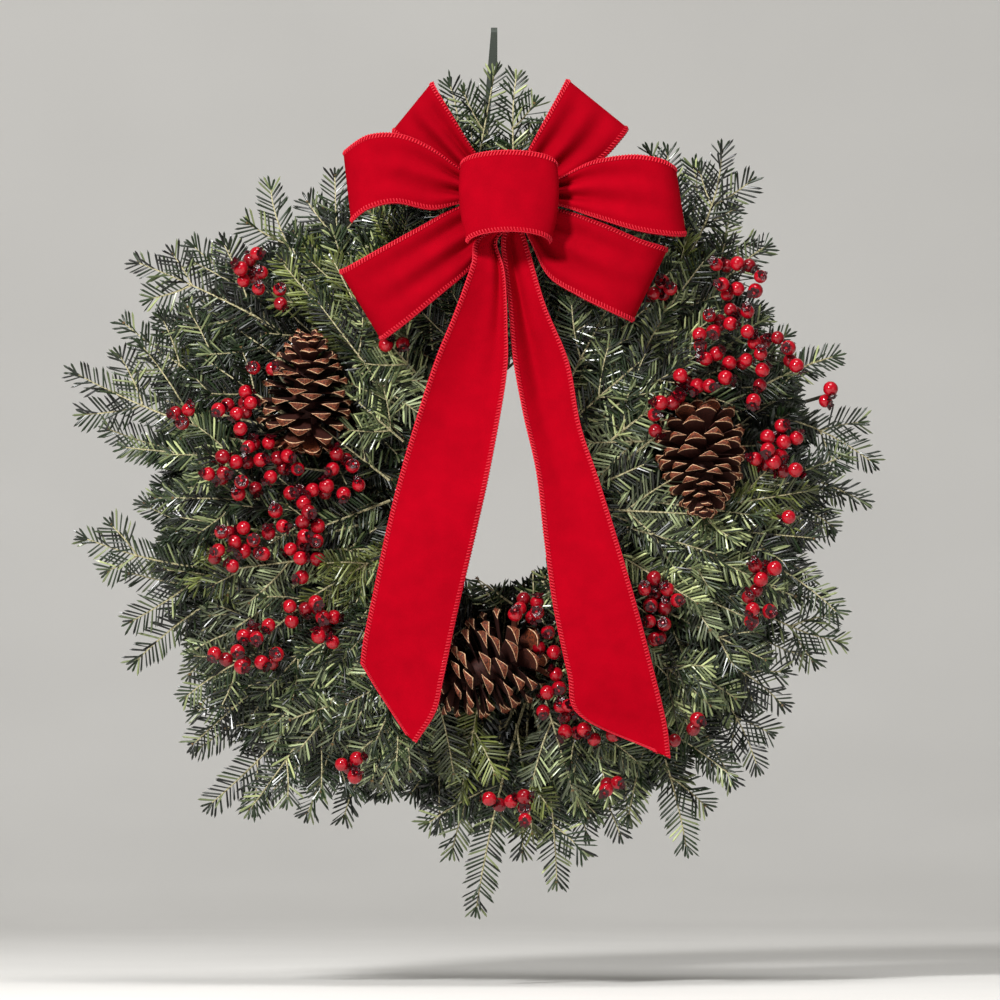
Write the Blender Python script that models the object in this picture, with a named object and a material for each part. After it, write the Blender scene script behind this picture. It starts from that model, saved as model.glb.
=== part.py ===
"""A fir wreath on a wire clamp ring, with a velvet bow, three pine cones and berry picks.

It hangs by a flat steel hanger that hooks over a door. Sizes are in millimetres until a mesh
is made. A place is (right, up, out) from the ring's centre, and out is how far a point stands
off the door, so the wreath's front faces -Y and +Z is up.
"""

import math
import random

import bpy
from mathutils import Vector
from mathutils.bvhtree import BVHTree

MM = 0.001
GAP = 0.3

# The origin is the middle of the hanger's seat, which rests on the door's top edge.
DOOR_THICKNESS = 45.0
SEAT_ABOVE_RING_CENTRE = 361.0
SEAT_RIGHT_OF_RING_CENTRE = 3.0

STRIP_WIDTH = 5.0
STRIP_THICKNESS = 1.6
STRIP_BEND = 3.0
BACK_LIP = 25.0
HOOK_DEGREES = 95.0
HOOK_LIP = 11.0

RING_RADIUS = 155.0
RING_OUT = 45.0
RAIL_OFFSET = 8.0
RAIL_WIRE_RADIUS = 2.0
RAIL_STEPS = 24
PRONG_RADIUS = 9.0
PRONG_WIRE_RADIUS = 1.4

BUNCHES = 12
FIRST_BUNCH_DEGREES = 15.0
BUTT_RADIUS = 6.2
BUTT_LENGTH = 26.0
BUTT_OUT = RING_OUT + 6.0
SEAT_CLEARANCE_DEGREES = 9.5
BOW_WIRE_DEGREES = 89.0

HOLE_RADIUS = 64.0
NEEDLE_LENGTH = 17.0
NEEDLE_RADIUS = 0.85
NEEDLE_PITCH = 13.2
NEEDLE_SPREAD_DEGREES = 52.0
TWIG_BASE_RADIUS = 2.1
TWIG_TIP_RADIUS = 1.5
SPRAY_STEPS = 3
SPRAY_TRIES = 40
BARE_MAIN = 0.42
BARE_EXTRA = 0.3
LOWEST_MAIN = 38.0
HIGHEST_MAIN = 100.0
OVER_THE_RAIL = 46.0
FRONT_OUT = 112.0
MOST_OUT = 124.0
BACK_OUT = 2.0
SAMPLE = 1.6
BUTT_SAMPLES = 6
CLEARANCE = 0.9

# The sprays that fill each bunch: degrees from its middle, tip radius and how far out the tip is.
EXTRA_SPRAYS = [
    (-8, HOLE_RADIUS + 2, 70),
    (7, HOLE_RADIUS + 4, 34),
    (-4, 215, FRONT_OUT),
    (6, 240, 14),
]

RIBBON_WIDTH = 63.5
RIBBON_THICKNESS = 1.0
KNOT = Vector((16.0, 229.0, 140.0))
TIE_RADIUS = 7.0
TIE_HALF_HEIGHT = 22.0
CENTRE_LOOP_HALF_WIDTH = 38.0
CENTRE_LOOP_DEPTH = 30.0
CENTRE_LOOP_RISE = 9.0

CONE_OUT = 99.0
CONE_SCALES = 22
GOLDEN_DEGREES = 137.508
CONE_WIRE_RADIUS = 1.0
CONE_HOLE_DEPTH = 9.0
CONE_CORE = ((-0.45, 0.16), (-0.36, 0.3), (-0.05, 0.34), (0.3, 0.22), (0.47, 0.06))
BASE_LEAN_DEGREES = -18.0
TIP_LEAN_DEGREES = 54.0

BERRY_RADIUS = 5.3
BERRY_SPACING = 11.2
BERRY_OUT = 116.0
STALK_RADIUS = 0.75
STEM_RADIUS = 1.9
BERRY_TRIES = 400
STEM_TRIES = 300
CROWN_LENGTH = 24.0
HUB_BEHIND_BERRIES = 26.0

# Each main spray's tip, then the point where its twig comes into sight, right and up.
MAIN_SPRAYS = [
    ((303, 20), (217, 84)),
    ((275, 109), (232, 99)),
    ((266, 138), (209, 152)),
    ((222, 195), (197, 185)),
    ((179, 276), (178, 199)),
    ((153, 263), (173, 215)),
    ((119, 273), (150, 215)),
    ((44, 288), (5, 262)),
    ((22, 332), (12, 275)),
    ((5, 335), (-6, 272)),
    ((-34, 326), (-14, 268)),
    ((-120, 256), (-118, 150)),
    ((-170, 247), (-166, 189)),
    ((-236, 199), (-200, 165)),
    ((-281, 183), (-196, 150)),
    ((-290, 139), (-226, 85)),
    ((-329, 99), (-248, 55)),
    ((-292, 38), (-223, 30)),
    ((-276, -3), (-216, -25)),
    ((-321, -30), (-221, -69)),
    ((-280, -135), (-221, -75)),
    ((-242, -162), (-192, -119)),
    ((-236, -199), (-185, -150)),
    ((-223, -245), (-159, -190)),
    ((-191, -250), (-144, -189)),
    ((-145, -255), (-125, -210)),
    ((-115, -258), (-100, -196)),
    ((-79, -240), (-70, -185)),
    ((-38, -265), (-42, -190)),
    ((-12, -329), (1, -240)),
    ((52, -308), (48, -206)),
    ((104, -271), (84, -220)),
    ((153, -282), (140, -201)),
    ((190, -230), (162, -165)),
    ((209, -218), (185, -140)),
    ((232, -169), (192, -125)),
    ((280, -115), (222, -105)),
    ((275, -98), (222, -45)),
    ((271, -30), (235, 0)),
    ((296, -9), (239, 22)),
]

# Each berry pick: its name, its middle, how far its berries spread, and how many it holds.
BERRY_PICKS = [
    ("upper_left", (-179, 169), (16, 20), 4),
    ("under_bow", (-74, 112), (9, 5), 1),
    ("beside_left_cone", (-184, 96), (10, 6), 2),
    ("far_left", (-236, 61), (9, 9), 2),
    ("left_top", (-198, 69), (18, 15), 3),
    ("left_middle", (-194, 22), (24, 16), 4),
    ("below_left_cone", (-121, 12), (26, 14), 4),
    ("left_inner", (-138, -33), (12, 26), 4),
    ("left_outer", (-186, -36), (24, 18), 4),
    ("lower_left_inner", (-132, -98), (18, 18), 3),
    ("lower_left_outer", (-190, -119), (24, 14), 3),
    ("left_foot", (-107, -207), (9, 9), 2),
    ("foot", (17, -238), (16, 9), 3),
    ("right_foot", (93, -223), (8, 6), 2),
    ("beside_bottom_cone", (41, -104), (14, 16), 3),
    ("under_right_tail", (54, -160), (13, 27), 4),
    ("beside_right_tail", (129, -85), (13, 22), 3),
    ("lower_right", (207, -75), (15, 21), 3),
    ("right_single", (229, -17), (2, 2), 1),
    ("upper_right", (192, 166), (20, 14), 3),
    ("beside_bow", (132, 157), (9, 7), 2),
    ("right_upper_middle", (184, 134), (20, 12), 3),
    ("right_outer", (219, 113), (18, 14), 3),
    ("right_inner", (166, 97), (20, 16), 3),
    ("beside_right_cone", (133, 64), (9, 16), 2),
    ("far_right", (260, 77), (5, 8), 2),
    ("right_lower_middle", (222, 36), (18, 17), 3),
]

# Each cone: its name, its middle, the way its tip points, its length and its greatest radius.
CONES = [
    ("left", (-142, 78), Vector((0.05, 1.0, 0.16)), 88.0, 35.5),
    ("right", (163, 27), Vector((0.03, -1.0, 0.2)), 84.0, 35.0),
    ("bottom", (-6, -134), Vector((-0.9, -0.42, 0.12)), 92.0, 39.0),
]

# Each side loop from the tie out, right and up from the knot: its upper edge, its lower edge,
# and how far its front and its back lie from the knot's middle. The last row is the fold.
SIDE_LOOPS = {
    "upper_left": [
        ((-7.4, 18.5), (-7.4, 8.0), 2.4, -2.4),
        ((-19, 26), (-24, 11), -5.2, -9.5),
        ((-29, 36), (-42, 14), -8.0, -15.0),
        ((-45, 62), (-66, 30), -8.5, -23.0),
        ((-56, 80), (-83, 43), -10.0, -25.0),
        ((-60, 88), (-91, 50), -17.0, -17.0),
    ],
    "middle_left": [
        ((-7.4, 5.0), (-7.4, -5.0), 2.4, -2.4),
        ((-22, 9), (-22, -5), 4.0, -3.0),
        ((-38, 20), (-38, -5), 6.0, -4.0),
        ((-61, 37), (-61, -10), 15.0, -5.0),
        ((-85, 47), (-88, -5), 21.0, -6.0),
        ((-110, 46), (-110, -10), 19.0, -6.0),
        ((-128, 34), (-122, -20), 6.0, 6.0),
    ],
    "lower_left": [
        ((-7.4, -8.0), (-7.4, -18.5), 2.4, -2.4),
        ((-22, -8), (-17, -33), 1.5, -5.0),
        ((-40, -8), (-32, -56), 3.5, -9.0),
        ((-70, -24), (-54, -75), 13.0, -11.0),
        ((-101, -41), (-78, -95), 16.0, -10.0),
        ((-124, -54), (-94, -107), 12.0, -6.0),
        ((-131, -57), (-99, -110), 3.0, 3.0),
    ],
    "upper_right": [
        ((7.4, 18.5), (7.4, 8.0), 2.4, -2.4),
        ((10, 27), (24, 8), -5.2, -9.5),
        ((14, 36), (45, 14), -8.0, -15.0),
        ((28, 62), (70, 29), -8.5, -23.0),
        ((39, 82), (85, 45), -10.0, -25.0),
        ((43, 90), (90, 52), -17.0, -17.0),
    ],
    "middle_right": [
        ((7.4, 5.0), (7.4, -5.0), 2.4, -2.4),
        ((22, 8), (22, -5.5), 4.0, -3.0),
        ((38, 14), (38, -7), 6.0, -4.0),
        ((61, 26), (64, -16), 15.0, -5.0),
        ((92, 31), (96, -26), 21.0, -6.0),
        ((115, 28), (122, -30), 19.0, -6.0),
        ((126, 22), (134, -30), 6.0, 6.0),
    ],
    "lower_right": [
        ((7.4, -8.0), (7.4, -18.5), 2.4, -2.4),
        ((22, -8.5), (16, -36), 1.5, -5.0),
        ((38, -10), (29, -61), 3.5, -9.0),
        ((70, -21), (52, -76), 13.0, -11.0),
        ((98, -33), (76, -88), 16.0, -10.0),
        ((114, -38), (89, -94), 12.0, -6.0),
        ((120, -40), (93, -96), 3.0, 3.0),
    ],
}

# Each tail from the tie down: its left edge and its right edge (right and up), how far the
# middle is cupped back from the edges, and how far out the row lies.
LEFT_TAIL = [
    ((8.5, 206), (15.4, 206), 0.0, 142.0),
    ((-11, 194), (5, 194), 1.0, 146.0),
    ((-14, 176), (11, 170), 4.0, 153.0),
    ((-27, 139), (13, 127), 8.0, 151.0),
    ((-43, 99), (12, 90), 8.0, 145.0),
    ((-63, 35), (0, 22), 3.0, 138.0),
    ((-76, -14), (-11, -28), -3.0, 137.0),
    ((-88, -70), (-25, -88), -3.0, 137.0),
    ((-98, -122), (-36, -140), 2.0, 138.0),
    ((-94, -137), (-42, -166), 2.0, 138.0),
    ((-64, -184), (-57, -190), 0.5, 138.0),
]
RIGHT_TAIL = [
    ((16.6, 206), (23.5, 206), 0.0, 138.0),
    ((9, 194), (28, 194), 1.0, 141.0),
    ((14, 150), (42, 146), 5.0, 144.0),
    ((18, 106), (60, 102), 7.0, 140.0),
    ((26, 62), (69, 54), 7.0, 137.0),
    ((36, 18), (83, 12), 5.0, 137.0),
    ((42, -33), (98, -36), 2.0, 138.0),
    ((49, -85), (113, -88), -2.0, 139.0),
    ((60, -137), (126, -138), -2.0, 140.0),
    ((69, -169), (135, -176), 2.0, 139.0),
    ((128, -197), (138, -202), 0.5, 138.0),
]


def world(point):
    """The point in the world, in metres, from millimetres right, up and out."""
    right, up, out = point
    return Vector(
        (
            (right - SEAT_RIGHT_OF_RING_CENTRE) * MM,
            -(DOOR_THICKNESS / 2 + out) * MM,
            (up - SEAT_ABOVE_RING_CENTRE) * MM,
        )
    )


def on_ring(degrees, radius, out):
    """The point at this bearing round the ring, at this radius and this far out."""
    turn = math.radians(degrees)
    return Vector((radius * math.cos(turn), radius * math.sin(turn), out))


def on_rail(degrees, offset, out):
    """The point on the straight length of rail at this bearing."""
    half = 180 / RAIL_STEPS
    beyond = degrees % (2 * half) - half
    radius = (RING_RADIUS + offset) * math.cos(math.radians(half)) / math.cos(math.radians(beyond))
    return on_ring(degrees, radius, out)


def make_material(name, colour, roughness, metallic=0.0):
    material = bpy.data.materials.new(name)
    material.use_nodes = True
    shader = material.node_tree.nodes["Principled BSDF"]
    shader.inputs["Base Color"].default_value = (*colour, 1.0)
    shader.inputs["Roughness"].default_value = roughness
    shader.inputs["Metallic"].default_value = metallic
    return material


def make_object(name, shape, material, collection=None):
    """An object with its mesh in world space, from a shape's points and faces."""
    points, faces = shape
    mesh = bpy.data.meshes.new(name)
    mesh.from_pydata([world(point) for point in points], [], faces)
    mesh.materials.append(material)
    made = bpy.data.objects.new(name, mesh)
    (collection or bpy.context.scene.collection).objects.link(made)
    return made


def join_with(made, shapes, operation, solver):
    """Joins the shapes to the object, or cuts them from it, with one applied Boolean."""
    collection = bpy.data.collections.new("joined")
    bpy.context.scene.collection.children.link(collection)
    for index, shape in enumerate(shapes):
        make_object(f"piece_{index}", shape, made.data.materials[0], collection)
    modifier = made.modifiers.new("join", "BOOLEAN")
    modifier.operation = operation
    modifier.operand_type = "COLLECTION"
    modifier.collection = collection
    modifier.solver = solver
    bpy.context.view_layer.update()
    graph = bpy.context.evaluated_depsgraph_get()
    joined = bpy.data.meshes.new_from_object(made.evaluated_get(graph))
    made.modifiers.clear()
    made.data = joined
    for piece in list(collection.objects):
        bpy.data.objects.remove(piece)
    bpy.data.collections.remove(collection)


def fuse(name, shapes, material, solver="EXACT"):
    """One object from overlapping shapes."""
    made = make_object(name, shapes[0], material)
    join_with(made, shapes[1:], "UNION", solver)
    return made


def tube(points, radii, sides, closed=False, turn=0.0):
    """A tube through the points. Its frame is carried along, so that it doesn't twist."""
    count = len(points)
    rings, side = [], None
    for index, point in enumerate(points):
        before = points[index - 1] if index or closed else point
        after = points[(index + 1) % count] if index < count - 1 or closed else point
        along = (after - before).normalized()
        if side is None:
            side = along.orthogonal()
        side = (side - along * side.dot(along)).normalized()
        other = along.cross(side)
        for step in range(sides):
            angle = turn + 2 * math.pi * step / sides
            rings.append(point + (side * math.cos(angle) + other * math.sin(angle)) * radii[index])
    faces = []
    for index in range(count if closed else count - 1):
        for step in range(sides):
            low = index * sides
            high = (index + 1) % count * sides
            after = (step + 1) % sides
            faces.append((low + step, low + after, high + after, high + step))
    if not closed:
        faces.append(tuple(reversed(range(sides))))
        faces.append(tuple(range((count - 1) * sides, count * sides)))
    return rings, faces


def bezier(start, bend, end, steps):
    """Points along a quadratic curve."""
    points = []
    for step in range(steps + 1):
        share = step / steps
        points.append(start * (1 - share) ** 2 + bend * 2 * share * (1 - share) + end * share**2)
    return points


def sheet(rows, thickness):
    """A thin closed solid round a surface of rows of points, split alike on both faces."""
    high, wide = len(rows), len(rows[0])
    front, back = [], []
    for i, row in enumerate(rows):
        for j, point in enumerate(row):
            along = rows[min(i + 1, high - 1)][j] - rows[max(i - 1, 0)][j]
            across = row[min(j + 1, wide - 1)] - row[max(j - 1, 0)]
            normal = along.cross(across).normalized() * thickness / 2
            front.append(point + normal)
            back.append(point - normal)
    offset = len(front)
    faces = []
    for i in range(high - 1):
        for j in range(wide - 1):
            a, b = i * wide + j, i * wide + j + 1
            c, d = b + wide, a + wide
            for face in ((a, d, c), (a, c, b)):
                faces.append(face)
                faces.append(tuple(offset + corner for corner in reversed(face)))
    left = [i * wide for i in range(high)]
    right = [i * wide + wide - 1 for i in range(high)]
    top = list(range(wide))
    bottom = list(range((high - 1) * wide, high * wide))
    rim = top + right[1:] + bottom[-2::-1] + left[-2:0:-1]
    for here, there in zip(rim, rim[1:] + rim[:1]):
        faces.append((here, there, offset + there, offset + here))
    return front + back, faces


def closed_band(rows, thickness):
    """A thin closed band round a loop of rows of two points."""
    count = len(rows)
    points = []
    for i, (low, high) in enumerate(rows):
        along = (rows[(i + 1) % count][0] - rows[i - 1][0]).normalized()
        normal = along.cross(high - low).normalized() * thickness / 2
        points += [low + normal, high + normal, high - normal, low - normal]
    faces = []
    for i in range(count):
        here, after = i * 4, (i + 1) % count * 4
        for k in range(4):
            a, b = here + k, here + (k + 1) % 4
            c, d = after + (k + 1) % 4, after + k
            if k % 2:
                faces += [(a, b, c, d)]
            elif k == 0:
                faces += [(a, b, c), (a, c, d)]
            else:
                faces += [(a, b, d), (b, c, d)]
    return points, [tuple(reversed(face)) for face in faces]


def spread(points, spacing):
    """Points at most this far apart along the polyline."""
    found = [points[0]]
    for here, there in zip(points, points[1:]):
        steps = max(1, math.ceil((there - here).length / spacing))
        found += [here.lerp(there, step / steps) for step in range(1, steps + 1)]
    return found


class Surroundings:
    """What is made so far, which a new piece keeps clear of."""

    def __init__(self):
        self.trees = []

    def add(self, made):
        mesh = made.data
        corners = [vertex.co for vertex in mesh.vertices]
        self.trees.append(BVHTree.FromPolygons(corners, [face.vertices for face in mesh.polygons]))

    def add_shape(self, shape):
        points, faces = shape
        self.trees.append(BVHTree.FromPolygons([world(point) for point in points], faces))

    def clear(self, points, distance):
        for point in points:
            there = world(point)
            for tree in self.trees:
                if tree.find_nearest(there, distance * MM)[0] is not None:
                    return False
        return True


def strip(points, width, thickness):
    """A flat strip that bends in the plane of up and out, with mitred bends."""
    corners = []
    for index, point in enumerate(points):
        before = (point - points[index - 1]).normalized() if index else None
        after = (points[index + 1] - point).normalized() if index < len(points) - 1 else None
        before, after = before or after, after or before
        sideways = Vector((1.0, 0.0, 0.0))
        normal = (sideways.cross(before) + sideways.cross(after)).normalized()
        reach = thickness / 2 / normal.dot(sideways.cross(before).normalized())
        for side, face in ((-1, -1), (1, -1), (1, 1), (-1, 1)):
            corners.append(point + sideways * side * width / 2 + normal * face * reach)
    faces = [(0, 1, 2, 3)]
    for index in range(len(points) - 1):
        low, high = index * 4, index * 4 + 4
        for k in range(4):
            after = (k + 1) % 4
            faces.append((low + after, low + k, high + k, high + after))
    last = (len(points) - 1) * 4
    faces.append((last + 3, last + 2, last + 1, last))
    return corners, faces


def arc(centre, radius, start, end, right, steps=3):
    """Points round a bend in the plane of up and out. The angle is 0 at out and 90 at up."""
    points = []
    for step in range(steps + 1):
        angle = math.radians(start + (end - start) * step / steps)
        up, out = centre
        points.append(Vector((right, up + radius * math.sin(angle), out + radius * math.cos(angle))))
    return points


def make_hanger(material):
    """A strip over the door's top edge, down its face, and out under the ring's top."""
    half = STRIP_THICKNESS / 2
    right = SEAT_RIGHT_OF_RING_CENTRE
    top = SEAT_ABOVE_RING_CENTRE + half - STRIP_BEND
    back = -DOOR_THICKNESS - half - GAP
    front = half
    hook = on_rail(HOOK_DEGREES, RAIL_OFFSET, RING_OUT)
    slope = math.tan(math.radians(180 / RAIL_STEPS))
    seat = hook.y - RAIL_WIRE_RADIUS - GAP - half - slope * STRIP_WIDTH / 2
    lip = RING_OUT + RAIL_WIRE_RADIUS + GAP + half + 1.0
    points = [Vector((right, top - BACK_LIP, back))]
    points += arc((top, back + STRIP_BEND), STRIP_BEND, 180, 90, right)
    points += arc((top, front - STRIP_BEND), STRIP_BEND, 90, 0, right)
    points += arc((seat + STRIP_BEND, front + STRIP_BEND), STRIP_BEND, 180, 270, hook.x)
    points += arc((seat + STRIP_BEND, lip - STRIP_BEND), STRIP_BEND, 270, 360, hook.x)
    points.append(Vector((hook.x, seat + HOOK_LIP, lip)))
    return make_object("door_hanger", strip(points, STRIP_WIDTH, STRIP_THICKNESS), material)


def make_ring(material):
    """Two wire rails, joined by the prongs that are bent over the bunches."""
    shapes = []
    for radius in (RING_RADIUS + RAIL_OFFSET, RING_RADIUS - RAIL_OFFSET):
        degrees = [360 * step / RAIL_STEPS for step in range(RAIL_STEPS)]
        points = [on_ring(turn, radius, RING_OUT) for turn in degrees]
        shapes.append(tube(points, [RAIL_WIRE_RADIUS] * RAIL_STEPS, 4, closed=True))
    for index in range(BUNCHES):
        bearing = FIRST_BUNCH_DEGREES + 360 * index / BUNCHES
        points = [on_ring(bearing, RING_RADIUS + RAIL_OFFSET, RING_OUT)]
        for degrees in (0, 60, 120, 180):
            angle = math.radians(degrees)
            radius = RING_RADIUS + PRONG_RADIUS * math.cos(angle)
            points.append(on_ring(bearing, radius, BUTT_OUT + PRONG_RADIUS * math.sin(angle)))
        points.append(on_ring(bearing, RING_RADIUS - RAIL_OFFSET, RING_OUT))
        shapes.append(tube(points, [PRONG_WIRE_RADIUS] * len(points), 3))
    return fuse("ring_frame", shapes, material)


def rail_seat(right, up, shift=0.0):
    """The place on a rail's front nearest to this point, clear of the prongs."""
    bearing = math.degrees(math.atan2(up, right)) + shift
    step = 360 / BUNCHES
    beyond = (bearing - FIRST_BUNCH_DEGREES) % step
    if beyond < SEAT_CLEARANCE_DEGREES:
        bearing += SEAT_CLEARANCE_DEGREES - beyond
    elif beyond > step - SEAT_CLEARANCE_DEGREES:
        bearing -= beyond - (step - SEAT_CLEARANCE_DEGREES)
    offset = RAIL_OFFSET if math.hypot(right, up) > RING_RADIUS else -RAIL_OFFSET
    return bearing, offset


def seated_end(bearing, offset, wire_radius):
    """The first two points of a wire that ends just in front of a rail."""
    out = RING_OUT + RAIL_WIRE_RADIUS + GAP
    foot = on_rail(bearing, offset, out)
    return foot, foot + Vector((0, 0, 6 + wire_radius))


def make_tie(material):
    """The bound middle of the bow, and its twisted wire back to the ring."""
    points = [KNOT + Vector((0, side * TIE_HALF_HEIGHT, 0)) for side in (-1, 1)]
    drum = tube(points, [TIE_RADIUS] * 2, 8, turn=math.pi / 8)
    foot, above = seated_end(BOW_WIRE_DEGREES, RAIL_OFFSET, CONE_WIRE_RADIUS)
    route = bezier(above, Vector((6, 190, 100)), KNOT - Vector((0, 2, 3)), 6)
    wire = tube([foot] + route, [CONE_WIRE_RADIUS] * 8, 5)
    return fuse("bow_tie", [drum, wire], material)


def make_centre_loop(material):
    """The small loop in front of the tie, which stands higher at its front."""
    rows = []
    flat = KNOT.z + TIE_RADIUS + GAP + RIBBON_THICKNESS
    steps = 14
    for step in range(steps):
        angle = 2 * math.pi * step / steps
        bulge = math.sin(angle)
        depth = CENTRE_LOOP_DEPTH * (0.5 + 0.5 * bulge if bulge > 0 else 0.5 + 0.5 * max(-1, bulge * 1.4))
        right = KNOT.x + CENTRE_LOOP_HALF_WIDTH * math.cos(angle)
        rise = KNOT.y + CENTRE_LOOP_RISE * bulge
        half = RIBBON_WIDTH / 2 - 1
        rows.append([Vector((right, rise + side * half, flat + depth)) for side in (-1, 1)])
    return make_object("bow_centre_loop", closed_band(rows, RIBBON_THICKNESS), material)


def make_side_loop(name, stations, material):
    """A loop of ribbon, pinched at the tie and folded over at its far end."""
    rows = []
    for upper, lower, front, _ in stations:
        rows.append([KNOT + Vector((*upper, front)), KNOT + Vector((*lower, front))])
    for upper, lower, _, back in reversed(stations[:-1]):
        rows.append([KNOT + Vector((*upper, back)), KNOT + Vector((*lower, back))])
    return make_object(f"bow_loop_{name}", sheet(rows, RIBBON_THICKNESS), material)


def make_tail(name, outline, material):
    """A long tail of ribbon, cupped a little along its middle and cut aslant."""
    rows = []
    for (left, left_up), (right, right_up), cup, out in outline:
        edges = Vector((left, left_up, out)), Vector((right, right_up, out))
        middle = (edges[0] + edges[1]) / 2 - Vector((0, 0, cup))
        rows.append([edges[0], middle, edges[1]])
    return make_object(f"bow_tail_{name}", sheet(rows, RIBBON_THICKNESS), material)


def scale_shape(root, outward, axis, reach, half_width):
    """A woody scale that widens to a rhombic end with a low point."""
    across = axis.cross(outward).normalized()
    upward = outward.cross(across).normalized()
    points = []
    for along, wide, thick in ((4.0, 0.2, 1.2), (reach * 0.88, 1.0, 3.0)):
        centre = root + outward * along
        points += [centre - across * half_width * wide, centre - upward * thick]
        points += [centre + across * half_width * wide, centre + upward * thick]
    points.append(root + outward * reach - upward * 0.6)
    faces = [(0, 1, 2, 3)]
    for k in range(4):
        after = (k + 1) % 4
        faces += [(k, k + 4, after + 4, after), (k + 4, 8, after + 4)]
    return points, faces


def make_cone(name, place, tip_way, length, radius, bark, wire):
    """A spindle core with scales that follow the golden angle, and the wire glued in its base."""
    axis = tip_way.normalized()
    middle = Vector((*place, CONE_OUT))
    side = axis.orthogonal().normalized()
    other = axis.cross(side)
    core = [middle + axis * length * share for share, _ in CONE_CORE]
    shapes = [tube(core, [radius * width for _, width in CONE_CORE], 6)]
    for index in range(CONE_SCALES):
        share = (index + 0.5) / CONE_SCALES
        turn = math.radians(GOLDEN_DEGREES * index)
        radial = side * math.cos(turn) + other * math.sin(turn)
        lean = math.radians(BASE_LEAN_DEGREES + (TIP_LEAN_DEGREES - BASE_LEAN_DEGREES) * share)
        outward = (radial * math.cos(lean) + axis * math.sin(lean)).normalized()
        reach = radius * (0.62 + 0.9 * math.sqrt(share) * (1 - share) ** 0.55 - 0.08 * share)
        half_width = 4.5 + 5.0 * math.sin(math.pi * min(1.0, 0.25 + share * 0.75))
        root = middle + axis * length * (-0.4 + 0.8 * share)
        shapes.append(scale_shape(root, outward, axis, reach, half_width))
    cone = fuse(f"cone_{name}", shapes, bark)

    base = middle + axis * length * CONE_CORE[0][0]
    inside = base + axis * CONE_HOLE_DEPTH
    outside = base - axis * 30
    hole = tube([inside, outside], [CONE_WIRE_RADIUS + GAP * 1.6] * 2, 6, turn=0.2)
    join_with(cone, [hole], "DIFFERENCE", "MANIFOLD")
    foot, above = seated_end(*rail_seat(base.x, base.y), CONE_WIRE_RADIUS)
    start = inside - axis * 1.5
    route = [start, base - axis * 4] + bezier(base - axis * 18, base - axis * 30, above, 5)
    radii = [CONE_WIRE_RADIUS] * (len(route) + 1)
    pick = make_object(f"cone_wire_{name}", tube(route + [foot], radii, 5), wire)
    return cone, pick


def icosahedron(centre, radius, rng):
    """A berry of twenty faces, turned at random about the way out."""
    golden = (1 + math.sqrt(5)) / 2
    turn = rng.uniform(0, 2 * math.pi)
    points = []
    for a, b in ((-1, golden), (1, golden), (-1, -golden), (1, -golden)):
        points += [(a, b, 0), (0, a, b), (b, 0, a)]
    points = [Vector(point).normalized() * radius for point in points]
    faces = []
    for i in range(12):
        for j in range(i + 1, 12):
            for k in range(j + 1, 12):
                sides = [(points[p] - points[q]).length for p, q in ((i, j), (j, k), (i, k))]
                if max(sides) < radius * 1.1:
                    face = (i, j, k)
                    normal = (points[j] - points[i]).cross(points[k] - points[i])
                    faces.append(face if normal.dot(points[i]) > 0 else face[::-1])
    cosine, sine = math.cos(turn), math.sin(turn)
    turned = [Vector((p.x * cosine - p.y * sine, p.x * sine + p.y * cosine, p.z)) for p in points]
    return [centre + point for point in turned], faces


def make_berry_pick(index, name, place, reach, count, near, material):
    """A stem from the ring to a hub, and a stalk from the hub to each berry."""
    rng = random.Random(100 + index)
    berries = []
    for attempt in range(BERRY_TRIES):
        angle = rng.uniform(0, 2 * math.pi)
        share = math.sqrt(rng.random()) * (1 + attempt / BERRY_TRIES)
        right = place[0] + reach[0] * share * math.cos(angle)
        up = place[1] + reach[1] * share * math.sin(angle)
        berry = Vector((right, up, BERRY_OUT + rng.uniform(-10, 10)))
        apart = all((berry - other).length > BERRY_SPACING for other in berries)
        if apart and near.clear([berry], BERRY_RADIUS + CLEARANCE):
            berries.append(berry)
        if len(berries) == count:
            break
    for attempt in range(STEM_TRIES):
        shift = Vector((rng.uniform(-1, 1), rng.uniform(-1, 1), 0)) * attempt * 0.08
        hub = Vector((*place, BERRY_OUT - HUB_BEHIND_BERRIES)) + shift
        crown = hub + Vector((0, 0, CROWN_LENGTH))
        bearing, offset = rail_seat(*place, rng.uniform(-1, 1) * attempt * 0.15)
        foot, above = seated_end(bearing, offset, STEM_RADIUS)
        bend = above + Vector((0, 0, 20 + rng.uniform(0, 30)))
        stem = [foot] + bezier(above, bend, hub, 3) + [crown]
        if near.clear(spread(stem[1:], SAMPLE), STEM_RADIUS + CLEARANCE) and near.clear([foot], 0.2):
            break
    else:
        raise RuntimeError(f"no way to the ring for the berries {name}")
    shapes = [tube(stem, [STEM_RADIUS] * len(stem), 3)]
    for number, berry in enumerate(berries):
        root = hub.lerp(crown, (number + 0.5) / len(berries))
        if near.clear(spread([root, berry], SAMPLE), STALK_RADIUS + CLEARANCE):
            shapes.append(tube([root, berry], [STALK_RADIUS] * 2, 3))
            shapes.append(icosahedron(berry, BERRY_RADIUS, rng))
    return fuse(f"berries_{name}", shapes, material, "MANIFOLD")


def needle(root, tip):
    """A three-sided needle, widest at its root."""
    along = (tip - root).normalized()
    side = along.orthogonal().normalized()
    other = along.cross(side)
    points = []
    for step in range(3):
        angle = 2 * math.pi * step / 3
        points.append(root + (side * math.cos(angle) + other * math.sin(angle)) * NEEDLE_RADIUS)
    return points + [tip], [(2, 1, 0), (0, 1, 3), (1, 2, 3), (2, 0, 3)]


def allowed(points):
    """Whether the points keep out of the wreath's hole, off the door and under the front."""
    for point in points:
        if math.hypot(point.x, point.y) < HOLE_RADIUS or not BACK_OUT < point.z < MOST_OUT:
            return False
    return True


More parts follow.
